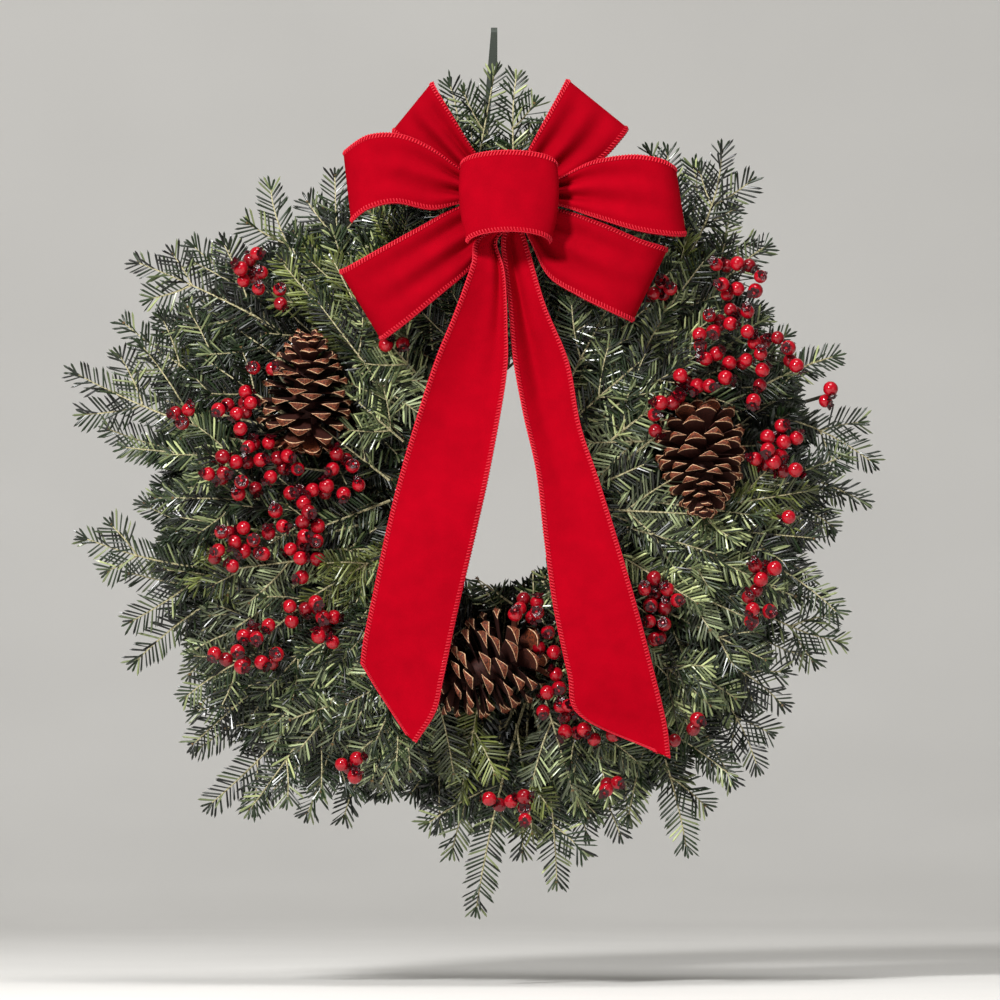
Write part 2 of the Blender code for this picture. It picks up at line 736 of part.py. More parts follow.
def comb(path, near, own, rng, start):
    """The needles of one twig, in two ranks that lift towards the front, and one at its tip."""
    shapes = []
    lengths = [0.0]
    for here, there in zip(path, path[1:]):
        lengths.append(lengths[-1] + (there - here).length)
    whole = lengths[-1]
    roll = rng.uniform(-0.4, 0.4)
    count = max(3, round((whole - start) / NEEDLE_PITCH))
    for number in range(count):
        at = start + (whole - start) * (number + 0.4) / count
        leg = max(i for i in range(len(path) - 1) if lengths[i] <= at)
        here, there = path[leg], path[leg + 1]
        root = here.lerp(there, (at - lengths[leg]) / (there - here).length)
        along = (there - here).normalized()
        flat = along.cross(Vector((0, 0, 1))).normalized()
        rise = flat.cross(along).normalized()
        turn = roll + rng.uniform(-0.5, 0.9)
        sideways = flat * (1 if number % 2 else -1) * math.cos(turn) + rise * math.sin(turn)
        angle = math.radians(NEEDLE_SPREAD_DEGREES + rng.uniform(-6, 6))
        way = along * math.cos(angle) + sideways * math.sin(angle)
        tip = root + way * NEEDLE_LENGTH * rng.uniform(0.85, 1.1)
        points = spread([root, tip], SAMPLE)
        if not allowed(points) or not near.clear(points[2:], NEEDLE_RADIUS + CLEARANCE):
            continue
        if own.clear(points[2:], NEEDLE_RADIUS + GAP):
            shapes.append(needle(root, tip))
    end, before = path[-1], path[-2]
    tip = end + (end - before).normalized() * NEEDLE_LENGTH * 0.7
    if allowed([tip]) and near.clear(spread([end, tip], SAMPLE), NEEDLE_RADIUS + CLEARANCE):
        shapes.append(needle(end - (end - before).normalized() * 2, tip))
    return shapes


def twig(path, near, own, rng, start):
    """A slim core along the path, with its needles. It is None where the path isn't clear."""
    points = spread(path, SAMPLE)
    bare = points[BUTT_SAMPLES:int(len(points) * start)]
    green = points[int(len(points) * start):]
    if not allowed(green) or not near.clear(green, TWIG_BASE_RADIUS + CLEARANCE):
        return None
    if not near.clear(bare, TWIG_BASE_RADIUS + GAP):
        return None
    count = len(path)
    shrink = TWIG_BASE_RADIUS - TWIG_TIP_RADIUS
    radii = [TWIG_BASE_RADIUS - shrink * index / (count - 1) for index in range(count)]
    whole = sum((there - here).length for here, there in zip(path, path[1:]))
    return [tube(path, radii, 3)] + comb(path, near, own, rng, whole * start + 4)


def grow_spray(start, bend, tip, near, own, rng, bare):
    """A spray from the butt to its tip, bent a little further at each try until it is clear."""
    for attempt in range(SPRAY_TRIES):
        jitter = attempt / 5
        shift = Vector((rng.uniform(-1, 1), rng.uniform(-1, 1), rng.uniform(-3, 3))) * jitter
        end = tip - (tip - bend).normalized() * NEEDLE_LENGTH * 0.7
        end = end + Vector((0, 0, shift.z * 0.8))
        path = bezier(start, bend + shift * 2.5, end, SPRAY_STEPS)
        shapes = twig(path, near, own, rng, bare)
        if shapes:
            for shape in shapes:
                own.add_shape(shape)
            return shapes
    return []


def butt_of(index):
    """The bound woody end of a bunch, along the ring under its prong."""
    bearing = FIRST_BUNCH_DEGREES + 360 * index / BUNCHES
    middle = on_ring(bearing, RING_RADIUS, BUTT_OUT)
    along = on_ring(bearing + 90, 1.0, 0)
    ends = [middle - along * BUTT_LENGTH / 2, middle + along * BUTT_LENGTH / 2]
    return bearing, ends, tube(ends, [BUTT_RADIUS] * 2, 8)


def make_bunch(index, near, material):
    """A bunch of sprays that share one butt: the main ones, then inner, front and back ones."""
    rng = random.Random(index)
    bearing, ends, butt = butt_of(index)
    shapes = [butt]
    own = Surroundings()
    for tip, base in MAIN_SPRAYS:
        seen = math.degrees(math.atan2(base[1], base[0]))
        away = (seen - bearing + 180) % 360 - 180
        if not -180 / BUNCHES <= away < 180 / BUNCHES:
            continue
        start = ends[1 if away > 0 else 0].lerp(ends[0 if away > 0 else 1], 0.15)
        low = rng.uniform(LOWEST_MAIN, HIGHEST_MAIN)
        goal = Vector((*tip, low * 0.8 + 8))
        bend = Vector((*base, low))
        shapes += grow_spray(start, bend, goal, near, own, rng, BARE_MAIN)
    for turn, radius, out in EXTRA_SPRAYS:
        start = ends[1 if turn > 0 else 0].lerp(ends[0 if turn > 0 else 1], 0.25)
        goal = on_ring(bearing + turn * 1.3, radius, out)
        bend = on_ring(bearing + turn * 1.6, (radius + RING_RADIUS) / 2, max(OVER_THE_RAIL, out * 0.75 + 18))
        shapes += grow_spray(start, bend, goal, near, own, rng, BARE_EXTRA)
    return fuse(f"fir_bunch_{index + 1:02d}", shapes, material)


def main():
    for existing in list(bpy.data.objects):
        bpy.data.objects.remove(existing)
    steel = make_material("painted steel", (0.04, 0.05, 0.045), 0.45, 1.0)
    wire = make_material("green wire", (0.03, 0.06, 0.035), 0.5, 1.0)
    velvet = make_material("velvet", (0.55, 0.0, 0.012), 0.9)
    bark = make_material("cone wood", (0.16, 0.06, 0.025), 0.7)
    berry = make_material("lacquered berry", (0.56, 0.008, 0.018), 0.15)
    fir = make_material("fir needles", (0.035, 0.075, 0.025), 0.55)

    near = Surroundings()
    for made in (make_hanger(steel), make_ring(wire), make_tie(wire)):
        near.add(made)
    near.add(make_centre_loop(velvet))
    for name, stations in SIDE_LOOPS.items():
        near.add(make_side_loop(name, stations, velvet))
    near.add(make_tail("left", LEFT_TAIL, velvet))
    near.add(make_tail("right", RIGHT_TAIL, velvet))
    for cone in CONES:
        for made in make_cone(*cone, bark, wire):
            near.add(made)

    picks = Surroundings()
    picks.trees += near.trees
    for index in range(BUNCHES):
        picks.add_shape(butt_of(index)[2])
    for index, pick in enumerate(BERRY_PICKS):
        made = make_berry_pick(index, *pick, picks, berry)
        picks.add(made)
        near.add(made)
    for index in range(BUNCHES):
        near.add(make_bunch(index, near, fir))


main()
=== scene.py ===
"""The looks of a fir wreath with a velvet bow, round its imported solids.

Places are in millimetres, right, up and out from the middle of the ring, where out is how far a
point stands off the door. A place that was read in the photograph is in its pixels.
"""

import math

import bpy
import numpy as np
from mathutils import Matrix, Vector
from mathutils.bvhtree import BVHTree


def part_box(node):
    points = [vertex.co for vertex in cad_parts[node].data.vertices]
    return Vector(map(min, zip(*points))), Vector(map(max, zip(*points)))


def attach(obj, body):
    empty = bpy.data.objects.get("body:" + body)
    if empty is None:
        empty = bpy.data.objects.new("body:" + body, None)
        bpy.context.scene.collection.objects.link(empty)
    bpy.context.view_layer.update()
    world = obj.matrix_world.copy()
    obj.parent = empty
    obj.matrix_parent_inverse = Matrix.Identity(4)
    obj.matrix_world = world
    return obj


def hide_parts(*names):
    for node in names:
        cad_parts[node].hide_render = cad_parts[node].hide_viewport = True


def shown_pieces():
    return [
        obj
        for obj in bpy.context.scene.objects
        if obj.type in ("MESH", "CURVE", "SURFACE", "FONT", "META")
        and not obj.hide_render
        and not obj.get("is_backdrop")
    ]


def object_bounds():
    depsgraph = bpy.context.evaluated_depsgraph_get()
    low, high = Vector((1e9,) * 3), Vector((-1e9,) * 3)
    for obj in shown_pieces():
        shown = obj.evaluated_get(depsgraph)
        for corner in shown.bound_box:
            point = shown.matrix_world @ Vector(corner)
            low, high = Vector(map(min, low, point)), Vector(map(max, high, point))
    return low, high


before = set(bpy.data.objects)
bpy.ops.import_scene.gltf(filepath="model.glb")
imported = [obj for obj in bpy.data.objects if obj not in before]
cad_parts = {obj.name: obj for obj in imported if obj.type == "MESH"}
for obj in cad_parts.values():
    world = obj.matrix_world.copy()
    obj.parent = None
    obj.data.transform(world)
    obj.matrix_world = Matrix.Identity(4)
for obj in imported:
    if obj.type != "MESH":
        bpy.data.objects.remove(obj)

bl_info = {
    "name": "Fir wreath with a velvet bow",
    "version": (1, 0, 0),
    "blender": (4, 5, 0),
    "location": "3D View > Sidebar > Wreath",
    "description": "Fir sprays, berries, cones, ribbon and stage for a door wreath",
    "category": "Object",
}

CAD_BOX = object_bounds()

MM = 0.001
RING_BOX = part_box("ring_frame")
RING_X = (RING_BOX[0].x + RING_BOX[1].x) / 2
RING_Z = (RING_BOX[0].z + RING_BOX[1].z) / 2
DOOR_FACE_Y = -0.0225

# One pixel of the photograph, and the pixel at the ring's centre.
PIXEL = 0.77
CENTRE_PIXEL = (490, 495)

RING_RADIUS = 155.0
RING_OUT = 45.0
RAIL_OFFSET = 8.0
RAIL_RADIUS = 2.0
PRONG_RADIUS = 9.0
PRONG_WIRE_RADIUS = 1.4
RAIL_TOP_OUT = RING_OUT + RAIL_RADIUS + 0.3
BUTT_OUT = RING_OUT + 6.0
BUTT_LENGTH = 30.0
BUTT_SPREAD = 3.9
BUTT_TWIG_RADII = (1.7, 2.1)
BUNCHES = 12
HALF_BUNCH = 180 / BUNCHES
FIRST_BUNCH_DEGREES = 15.0
# Steps of this share spread values evenly, however many there are.
GOLDEN = 0.618
# The hole, and how far, at which bearing and over how many degrees it runs up behind the bow.
HOLE_RADIUS = 62.0
HOLE_PEAK = 42.0
HOLE_PEAK_AT = 78
HOLE_PEAK_WIDE = 16
BACK_OUT = 1.0

# Directions that no twig, wire or axis here runs along, from which a frame is started.
TUBE_ASKEW = [0.3, 0.5, 0.8]
AXES_ASKEW = [0.31, 0.52, 0.8]
BUD_ASKEW = [0.2, 0.3, 0.9]

# The bow's knot, and its ribbon. The ribbon is drawn 1 mm thick, pile and all.
KNOT = np.array([16.0, 229.0, 140.0])
RIBBON_WIDTH = 63.5
RIBBON_THICKNESS = 1.0

# Where each outer spray ends, then where its twig comes into sight, right and up.
MAIN_SPRAYS = [
    ((303, 20), (217, 84)),
    ((275, 109), (232, 99)),
    ((266, 138), (209, 152)),
    ((222, 195), (197, 185)),
    ((179, 276), (178, 199)),
    ((153, 263), (173, 215)),
    ((119, 273), (150, 215)),
    ((44, 288), (5, 262)),
    ((22, 332), (12, 275)),
    ((5, 335), (-6, 272)),
    ((-34, 326), (-14, 268)),
    ((-120, 256), (-118, 150)),
    ((-170, 247), (-166, 189)),
    ((-236, 199), (-200, 165)),
    ((-281, 183), (-196, 150)),
    ((-290, 139), (-226, 85)),
    ((-329, 99), (-248, 55)),
    ((-292, 38), (-223, 30)),
    ((-276, -3), (-216, -25)),
    ((-321, -30), (-221, -69)),
    ((-280, -135), (-221, -75)),
    ((-242, -162), (-192, -119)),
    ((-236, -199), (-185, -150)),
    ((-223, -245), (-159, -190)),
    ((-191, -250), (-144, -189)),
    ((-145, -255), (-125, -210)),
    ((-115, -258), (-100, -196)),
    ((-79, -240), (-70, -185)),
    ((-38, -265), (-42, -190)),
    ((-12, -329), (1, -240)),
    ((52, -308), (48, -206)),
    ((104, -271), (84, -220)),
    ((153, -282), (140, -201)),
    ((190, -230), (162, -165)),
    ((209, -218), (185, -140)),
    ((232, -169), (192, -125)),
    ((280, -115), (222, -105)),
    ((275, -98), (222, -45)),
    ((271, -30), (235, 0)),
    ((296, -9), (239, 22)),
]

# The short sprays that are seen against the hole, below it, from start to tip, in pixels.
HOLE_SPRAYS = [
    ((512, 604), (472, 575)),
    ((500, 612), (478, 580)),
    ((534, 612), (533, 574)),
    ((552, 606), (548, 570)),
]

# Each berry pick's berries, as read in the photograph.
BERRIES = {
    "upper_left": [
        (257, 254), (241, 269), (244, 281), (262, 273), (259, 289), (280, 290), (281, 304),
    ],
    "under_bow": [(386, 345), (403, 344)],
    "beside_left_cone": [(254, 368), (273, 369)],
    "far_left": [(189, 410), (176, 413), (183, 423)],
    "left_top": [(219, 410), (228, 405), (246, 392), (251, 403), (237, 414), (241, 429)],
    "left_middle": [
        (249, 447), (269, 443), (223, 457), (236, 462), (261, 460), (288, 456), (224, 473),
        (209, 474), (242, 482), (239, 494), (271, 477), (298, 469),
    ],
    "below_left_cone": [
        (291, 493), (313, 490), (327, 486), (333, 469), (337, 454), (353, 466), (359, 485),
        (344, 494), (304, 503), (309, 512),
    ],
    "left_inner": [
        (303, 522), (318, 526), (305, 536), (317, 541), (291, 549), (318, 559), (301, 558),
        (302, 577),
    ],
    "left_outer": [
        (276, 511), (283, 526), (269, 533), (244, 528), (222, 532), (235, 542), (254, 540),
        (244, 551), (264, 554), (219, 550), (233, 566),
    ],
    "lower_left_inner": [
        (290, 606), (292, 621), (316, 602), (323, 617), (334, 617), (319, 636), (333, 642),
    ],
    "lower_left_outer": [
        (269, 625), (244, 636), (257, 638), (238, 651), (215, 653), (242, 666), (262, 662),
        (277, 654),
    ],
    "left_foot": [(357, 758), (342, 764), (355, 776)],
    "foot": [(489, 798), (511, 801), (524, 796), (525, 819)],
    "right_foot": [(606, 789), (617, 782)],
    "beside_bottom_cone": [
        (520, 608), (515, 614), (537, 602), (537, 612), (532, 617), (548, 632), (539, 647),
        (554, 652),
    ],
    "under_right_tail": [
        (556, 674), (547, 692), (559, 688), (543, 711), (560, 706), (568, 705), (565, 731),
        (584, 729), (594, 739), (613, 734),
    ],
    "beside_right_tail": [
        (654, 578), (644, 589), (667, 589), (650, 605), (677, 600), (649, 621), (664, 624),
        (654, 639), (697, 719), (674, 740),
    ],
    "lower_right": [
        (755, 566), (774, 568), (760, 579), (748, 597), (752, 609), (769, 611), (751, 621),
    ],
    "right_single": [(788, 517)],
    "upper_right": [
        (716, 265), (737, 264), (760, 277), (755, 291), (722, 285), (737, 289), (727, 295),
    ],
    "beside_bow": [(662, 282), (653, 294), (670, 289)],
    "right_upper_middle": [
        (709, 316), (730, 310), (747, 312), (730, 324), (713, 332), (699, 335), (747, 332),
    ],
    "right_outer": [
        (754, 343), (777, 338), (788, 348), (796, 366), (760, 354), (762, 370), (753, 401),
    ],
    "right_inner": [
        (700, 346), (705, 359), (716, 354), (729, 363), (746, 360), (725, 378), (680, 376),
        (697, 386), (709, 386),
    ],
    "beside_right_cone": [(672, 403), (678, 397), (660, 403), (654, 415), (655, 431)],
    "far_right": [(830, 389), (825, 401)],
    "right_lower_middle": [
        (781, 426), (767, 437), (783, 442), (796, 438), (767, 450), (780, 456), (755, 459),
        (773, 462), (795, 470),
    ],
}
# How far out the berries lie, the least and most of that, and how far out their stalks part and
# their stem bends towards the ring.
BERRY_OUT = 114.0
BERRY_OUT_RANGE = (94, 128)
HUB_OUT = 88.0
STEM_BEND_OUT = 22.0
STEM_RADIUS = 1.5
STALK_RADIUS = 0.55

# Each cone: its middle, the way its tip points, its length and its greatest radius.
CONES = {
    "left": ((-142, 78, 99), (0.05, 1.0, 0.16), 88.0, 35.5),
    "right": ((163, 27, 99), (0.03, -0.9, 0.42), 84.0, 35.0),
    "bottom": ((-6, -134, 99), (-0.9, -0.42, 0.12), 92.0, 39.0),
}

# Each side loop from the tie out, right and up from the knot: its upper edge, its lower edge,
# and how far its front and its back lie from the knot's middle. The last row is the fold.
SIDE_LOOPS = {
    "upper_left": [
        ((-7.4, 18.5), (-7.4, 8.0), 2.4, -2.4),
        ((-19, 26), (-24, 11), -5.2, -9.5),
        ((-29, 36), (-42, 14), -8.0, -15.0),
        ((-45, 62), (-66, 30), -8.5, -23.0),
        ((-56, 80), (-83, 43), -10.0, -25.0),
        ((-60, 88), (-91, 50), -17.0, -17.0),
    ],
    "middle_left": [
        ((-7.4, 5.0), (-7.4, -5.0), 2.4, -2.4),
        ((-22, 9), (-22, -5), 4.0, -3.0),
        ((-38, 20), (-38, -5), 6.0, -4.0),
        ((-61, 37), (-61, -10), 15.0, -5.0),
        ((-85, 47), (-88, -5), 21.0, -6.0),
        ((-110, 46), (-110, -10), 19.0, -6.0),
        ((-128, 34), (-122, -20), 6.0, 6.0),
    ],
    "lower_left": [
        ((-7.4, -8.0), (-7.4, -18.5), 2.4, -2.4),
        ((-22, -8), (-17, -33), 1.5, -5.0),
        ((-40, -8), (-32, -56), 3.5, -9.0),
        ((-70, -24), (-54, -75), 13.0, -11.0),
        ((-101, -41), (-78, -95), 16.0, -10.0),
        ((-124, -54), (-94, -107), 12.0, -6.0),
        ((-131, -57), (-99, -110), 3.0, 3.0),
    ],
    "upper_right": [
        ((7.4, 18.5), (7.4, 8.0), 2.4, -2.4),
        ((10, 27), (24, 8), -5.2, -9.5),
        ((14, 36), (45, 14), -8.0, -15.0),
        ((28, 62), (70, 29), -8.5, -23.0),
        ((39, 82), (85, 45), -10.0, -25.0),
        ((43, 90), (90, 52), -17.0, -17.0),
    ],
    "middle_right": [
        ((7.4, 5.0), (7.4, -5.0), 2.4, -2.4),
        ((22, 8), (22, -5.5), 4.0, -3.0),
        ((38, 14), (38, -7), 6.0, -4.0),
        ((61, 26), (64, -16), 15.0, -5.0),
        ((92, 31), (96, -26), 21.0, -6.0),
        ((115, 28), (122, -30), 19.0, -6.0),
        ((126, 22), (134, -30), 6.0, 6.0),
    ],
    "lower_right": [
        ((7.4, -8.0), (7.4, -18.5), 2.4, -2.4),
        ((22, -8.5), (16, -36), 1.5, -5.0),
        ((38, -10), (29, -61), 3.5, -9.0),
        ((70, -21), (52, -76), 13.0, -11.0),
        ((98, -33), (76, -88), 16.0, -10.0),
        ((114, -38), (89, -94), 12.0, -6.0),
        ((120, -40), (93, -96), 3.0, 3.0),
    ],
}

# Each tail from the tie down: its left edge, its right edge (right and up), how far its middle
# is cupped back, and how far out it lies.
TAILS = {
    "left": [
        ((8.5, 206), (15.4, 206), 0.0, 142.0),
        ((-11, 194), (5, 194), 1.0, 146.0),
        ((-14, 176), (11, 170), 4.0, 153.0),
        ((-27, 139), (13, 127), 8.0, 151.0),
        ((-43, 99), (12, 90), 8.0, 145.0),
        ((-63, 35), (0, 22), 3.0, 138.0),
        ((-76, -14), (-11, -28), -3.0, 137.0),
        ((-88, -70), (-25, -88), -3.0, 137.0),
        ((-98, -122), (-36, -140), 2.0, 138.0),
        ((-94, -137), (-42, -166), 2.0, 138.0),
        ((-64, -184), (-57, -190), 0.5, 138.0),
    ],
    "right": [
        ((16.6, 206), (23.5, 206), 0.0, 138.0),
        ((9, 194), (28, 194), 1.0, 141.0),
        ((14, 150), (42, 146), 5.0, 144.0),
        ((18, 106), (60, 102), 7.0, 140.0),
        ((26, 62), (69, 54), 7.0, 137.0),
        ((36, 18), (83, 12), 5.0, 137.0),
        ((42, -33), (98, -36), 2.0, 138.0),
        ((49, -85), (113, -88), -2.0, 139.0),
        ((60, -137), (126, -138), -2.0, 140.0),
        ((69, -169), (135, -176), 2.0, 139.0),
        ((128, -197), (138, -202), 0.5, 138.0),
    ],
}


def linear(code):
    """The linear colour of an sRGB hex value."""
    channels = [int(code[i : i + 2], 16) / 255 for i in (1, 3, 5)]
    return [c / 12.92 if c <= 0.04045 else ((c + 0.055) / 1.055) ** 2.4 for c in channels]


def unit(vectors):
    """The vectors at length 1."""
    return vectors / np.maximum(np.linalg.norm(vectors, axis=-1, keepdims=True), 1e-9)


def to_world(points):
    """Metres in the frame, from millimetres right, up and out of the ring's centre."""
    points = np.asarray(points, float).reshape(-1, 3)
    x = RING_X + points[:, 0] * MM
    y = DOOR_FACE_Y - points[:, 2] * MM
    z = RING_Z + points[:, 1] * MM
    return np.stack([x, y, z], axis=1)


def from_photo(place, out):
    """The point at this pixel of the photograph, this far out."""
    right = (place[0] - CENTRE_PIXEL[0]) * PIXEL
    up = (CENTRE_PIXEL[1] - place[1]) * PIXEL
    return np.array([right, up, out])


def on_ring(degrees, radius, out):
    """The point at this bearing and radius from the ring's centre, this far out."""
    turn = math.radians(degrees)
    return np.array([radius * math.cos(turn), radius * math.sin(turn), out])


class Shape:
    """Points, faces, material numbers and tints that become one object."""

    def __init__(self):
        self.points, self.faces, self.materials, self.tints = [], [], [], []
        self.count = 0

    def add(self, points, faces, material=0, tint=0.5):
        """Adds these points, and faces that count from the first of them."""
        points = np.asarray(points, float).reshape(-1, 3)
        faces = np.asarray(faces, int)
        self.points.append(points)
        self.faces.append(faces + self.count)
        self.materials.append(np.broadcast_to(material, len(faces)))
        self.tints.append(np.broadcast_to(tint, len(points)))
        self.count += len(points)

    def make(self, name, materials, smooth=True):
        """The object, which rides the wreath's body."""
        mesh = bpy.data.meshes.new(name)
        points = to_world(np.concatenate(self.points))
        corners = np.concatenate([faces.ravel() for faces in self.faces])
        totals = np.concatenate([np.full(len(faces), faces.shape[1]) for faces in self.faces])
        mesh.vertices.add(len(points))
        mesh.vertices.foreach_set("co", points.astype(np.float32).ravel())
        mesh.loops.add(len(corners))
        mesh.loops.foreach_set("vertex_index", corners.astype(np.int32))
        mesh.polygons.add(len(totals))
        mesh.polygons.foreach_set("loop_start", (np.cumsum(totals) - totals).astype(np.int32))
        numbers = np.concatenate(self.materials).astype(np.int32)
        mesh.polygons.foreach_set("material_index", numbers)
        mesh.polygons.foreach_set("use_smooth", np.full(len(totals), smooth))
        tints = mesh.attributes.new("tint", "FLOAT", "POINT")
        tints.data.foreach_set("value", np.concatenate(self.tints).astype(np.float32))
        for material in materials:
            mesh.materials.append(material)
        mesh.update(calc_edges=True)
        mesh.validate()
        made = bpy.data.objects.new(name, mesh)
        bpy.context.scene.collection.objects.link(made)
        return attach(made, "root")


class KeepOut:
    """The made pieces, which needles and twigs stay clear of."""

    def __init__(self):
        self.trees = []

    def add(self, made):
        """Adds a made piece."""
        corners = [vertex.co for vertex in made.data.vertices]
        polygons = [face.vertices for face in made.data.polygons]
        self.trees.append(BVHTree.FromPolygons(corners, polygons))

    def clear(self, points, distance):
        """For each point, whether no piece is within this distance."""
        found = np.ones(len(points), bool)
        for index, point in enumerate(to_world(points)):
            for tree in self.trees:
                if tree.find_nearest(point, distance * MM)[0] is not None:
                    found[index] = False
                    break
        return found


def curve(points, steps, closed=False):
    """A smooth line through the points, with this many steps from each to the next."""
    points = np.asarray(points, float)
    if closed:
        padded = np.concatenate([points[-1:], points, points[:2]])
    else:
        before = 2 * points[:1] - points[1:2]
        beyond = 2 * points[-1:] - points[-2:-1]
        padded = np.concatenate([before, points, beyond])
    found = []
    for a, b, c, d in zip(padded, padded[1:], padded[2:], padded[3:]):
        for step in range(steps):
            t = step / steps
            found.append(
                0.5 * (2 * b + (c - a) * t + (2 * a - 5 * b + 4 * c - d) * t * t
                       + (3 * b - a - 3 * c + d) * t**3)
            )
    if not closed:
        found.append(points[-1])
    return np.array(found)


def bezier(start, bend, end, steps):
    """A line of even steps that is drawn towards the bend on its way."""
    t = np.linspace(0, 1, steps + 1)[:, None]
    return start * (1 - t) ** 2 + bend * 2 * t * (1 - t) + end * t * t


def ring_faces(rings, sides, closed=False):
    """The faces between rings of points, and from the last ring to the first if it's closed."""
    first = np.arange(rings if closed else rings - 1)[:, None] * sides
    second = (first + sides) % (rings * sides)
    step, after = np.arange(sides), (np.arange(sides) + 1) % sides
    faces = np.stack([first + step, first + after, second + after, second + step], axis=2)
    return faces.reshape(-1, 4)


def tube(path, radii, sides, closed=False):
    """A tube's points and faces. Its frame is carried along, so that it doesn't twist."""
    path = np.asarray(path, float)
    count = len(path)
    ahead, behind = np.roll(path, -1, 0), np.roll(path, 1, 0)
    if not closed:
        ahead[-1], behind[0] = path[-1], path[0]
    along = unit(ahead - behind)
    side = np.cross(along[0], TUBE_ASKEW)
    turns = np.arange(sides) * 2 * math.pi / sides
    points = []
    for here, way, radius in zip(path, along, np.broadcast_to(radii, count)):
        side = unit(side - way * side.dot(way))
        other = np.cross(way, side)
        circle = np.outer(np.cos(turns), side) + np.outer(np.sin(turns), other)
        points.append(here + circle * radius)
    return np.concatenate(points), ring_faces(count, sides, closed)


def lengths_along(path):
    """How far along the path each of its points lies."""
    return np.concatenate([[0], np.cumsum(np.linalg.norm(np.diff(path, axis=0), axis=1))])


def between(places, lengths, values):
    """The values at these lengths along a path."""
    return np.stack([np.interp(places, lengths, values[:, k]) for k in range(3)], axis=1)


def along_path(path, places):
    """The points at these lengths along the path, and the way it runs there."""
    lengths = lengths_along(path)
    ways = unit(np.gradient(path, axis=0))
    return between(places, lengths, path), unit(between(places, lengths, ways))


def path_length(path):
    """The path's whole length."""
    return float(np.linalg.norm(np.diff(path, axis=0), axis=1).sum())


def add_node(material, kind, settings, links=()):
    """Adds a node, sets its options and sockets, and links sources to its sockets."""
    made = material.node_tree.nodes.new(kind)
    for key, value in settings.items():
        if isinstance(key, str) and hasattr(made, key):
            setattr(made, key, value)
        else:
            made.inputs[key].default_value = value
    for key, source in dict(links).items():
        material.node_tree.links.new(source, made.inputs[key])
    return made


def new_material(name, settings):
    """A material and its shader, with these values on the shader's own sockets."""
    material = bpy.data.materials.new(name)
    material.use_nodes = True
    shader = material.node_tree.nodes["Principled BSDF"]
    for key, value in settings.items():
        shader.inputs[key].default_value = value
    return material, shader


def link(material, source, shader, socket):
    """Links a source to a node's socket."""
    material.node_tree.links.new(source, shader.inputs[socket])


def ramp(material, factor, stops):
    """A colour ramp through these places and colours."""
    made = add_node(material, "ShaderNodeValToRGB", {}, {"Fac": factor})
    elements = made.color_ramp.elements
    while len(elements) < len(stops):
        elements.new(0.5)
    for element, (place, colour) in zip(elements, stops):
        element.position = place
        element.color = (*colour[:3], 1.0)
    return made.outputs["Color"]


def tint_of(material):
    """The tint that each point carries."""
    return add_node(material, "ShaderNodeAttribute", {"attribute_name": "tint"}).outputs["Fac"]


def bump(material, shader, height, strength, distance):
    """Raises the surface by this height, over this many millimetres."""
    made = add_node(
        material, "ShaderNodeBump", {"Strength": strength, "Distance": distance * MM},
        {"Height": height},
    )
    link(material, made.outputs["Normal"], shader, "Normal")


def noise(material, size, detail=2.0, rough=0.5):
    """Noise whose patches are about this many millimetres across."""
    place = add_node(material, "ShaderNodeNewGeometry", {}).outputs["Position"]
    settings = {"Scale": 1 / (size * MM), "Detail": detail, "Roughness": rough}
    return add_node(material, "ShaderNodeTexNoise", settings, {"Vector": place}).outputs["Fac"]


def mix(material, factor, first, second, blend="MIX"):
    """Mixes two colours, each a colour or a socket. The node keeps its factor and its colours at
    inputs 0, 6 and 7, and the mixed colour at output 2."""
    made = add_node(material, "ShaderNodeMix", {"data_type": "RGBA", "blend_type": blend})
    tree = material.node_tree
    for number, value in ((0, factor), (6, first), (7, second)):
        socket = made.inputs[number]
        if isinstance(value, bpy.types.NodeSocket):
            tree.links.new(value, socket)
        elif isinstance(value, float):
            socket.default_value = value
        else:
            socket.default_value = (*value[:3], 1.0)
    return made.outputs[2]


def needle_material(name, stops, roughness):
    """Waxy fir needles by needle: painted shade, green, pale wax under a painted glint, or young.
    Their wax coat gives white glints too.
    """
    material, shader = new_material(
        name, {"Roughness": roughness, "IOR": 1.45, "Coat Weight": 0.5, "Coat Roughness": 0.24},
    )
    colour = ramp(material, tint_of(material), stops)
    # The wax is dusted unevenly, in patches about 22 mm across.
    worn = mix(material, noise(material, 22.0), [0.8] * 3, [1.0] * 3)
    link(material, mix(material, 1.0, colour, worn, "MULTIPLY"), shader, "Base Color")
    return material


def blend(first, second, share):
    """A colour this share of the way from the first to the second."""
    return [a * (1 - share) + b * share for a, b in zip(first, second)]


def twig_material(settings):
    """Young fir bark: smooth and tan, with darker leaf scars."""
    material, shader = new_material("young fir bark", {"Roughness": 0.7})
    # Leaf scars lie about 1.4 mm apart.
    scars = noise(material, 1.4)
    colour = ramp(material, scars, [(0.35, linear("#6f6842")), (0.6, settings.twig_colour)])
    darkened = mix(material, tint_of(material), linear("#2b281d"), colour)
    link(material, darkened, shader, "Base Color")
    bump(material, shader, scars, 0.5, 0.3)
    return material


def bud_material():
    """Resinous buds: orange brown and half glossy, in scales about 1 mm across."""
    material, shader = new_material("resinous fir bud", {"Roughness": 0.35})
    stops = [(0.3, linear("#54402a")), (0.7, linear("#8c7048"))]
    colour = ramp(material, noise(material, 1.0), stops)
    link(material, colour, shader, "Base Color")
    return material


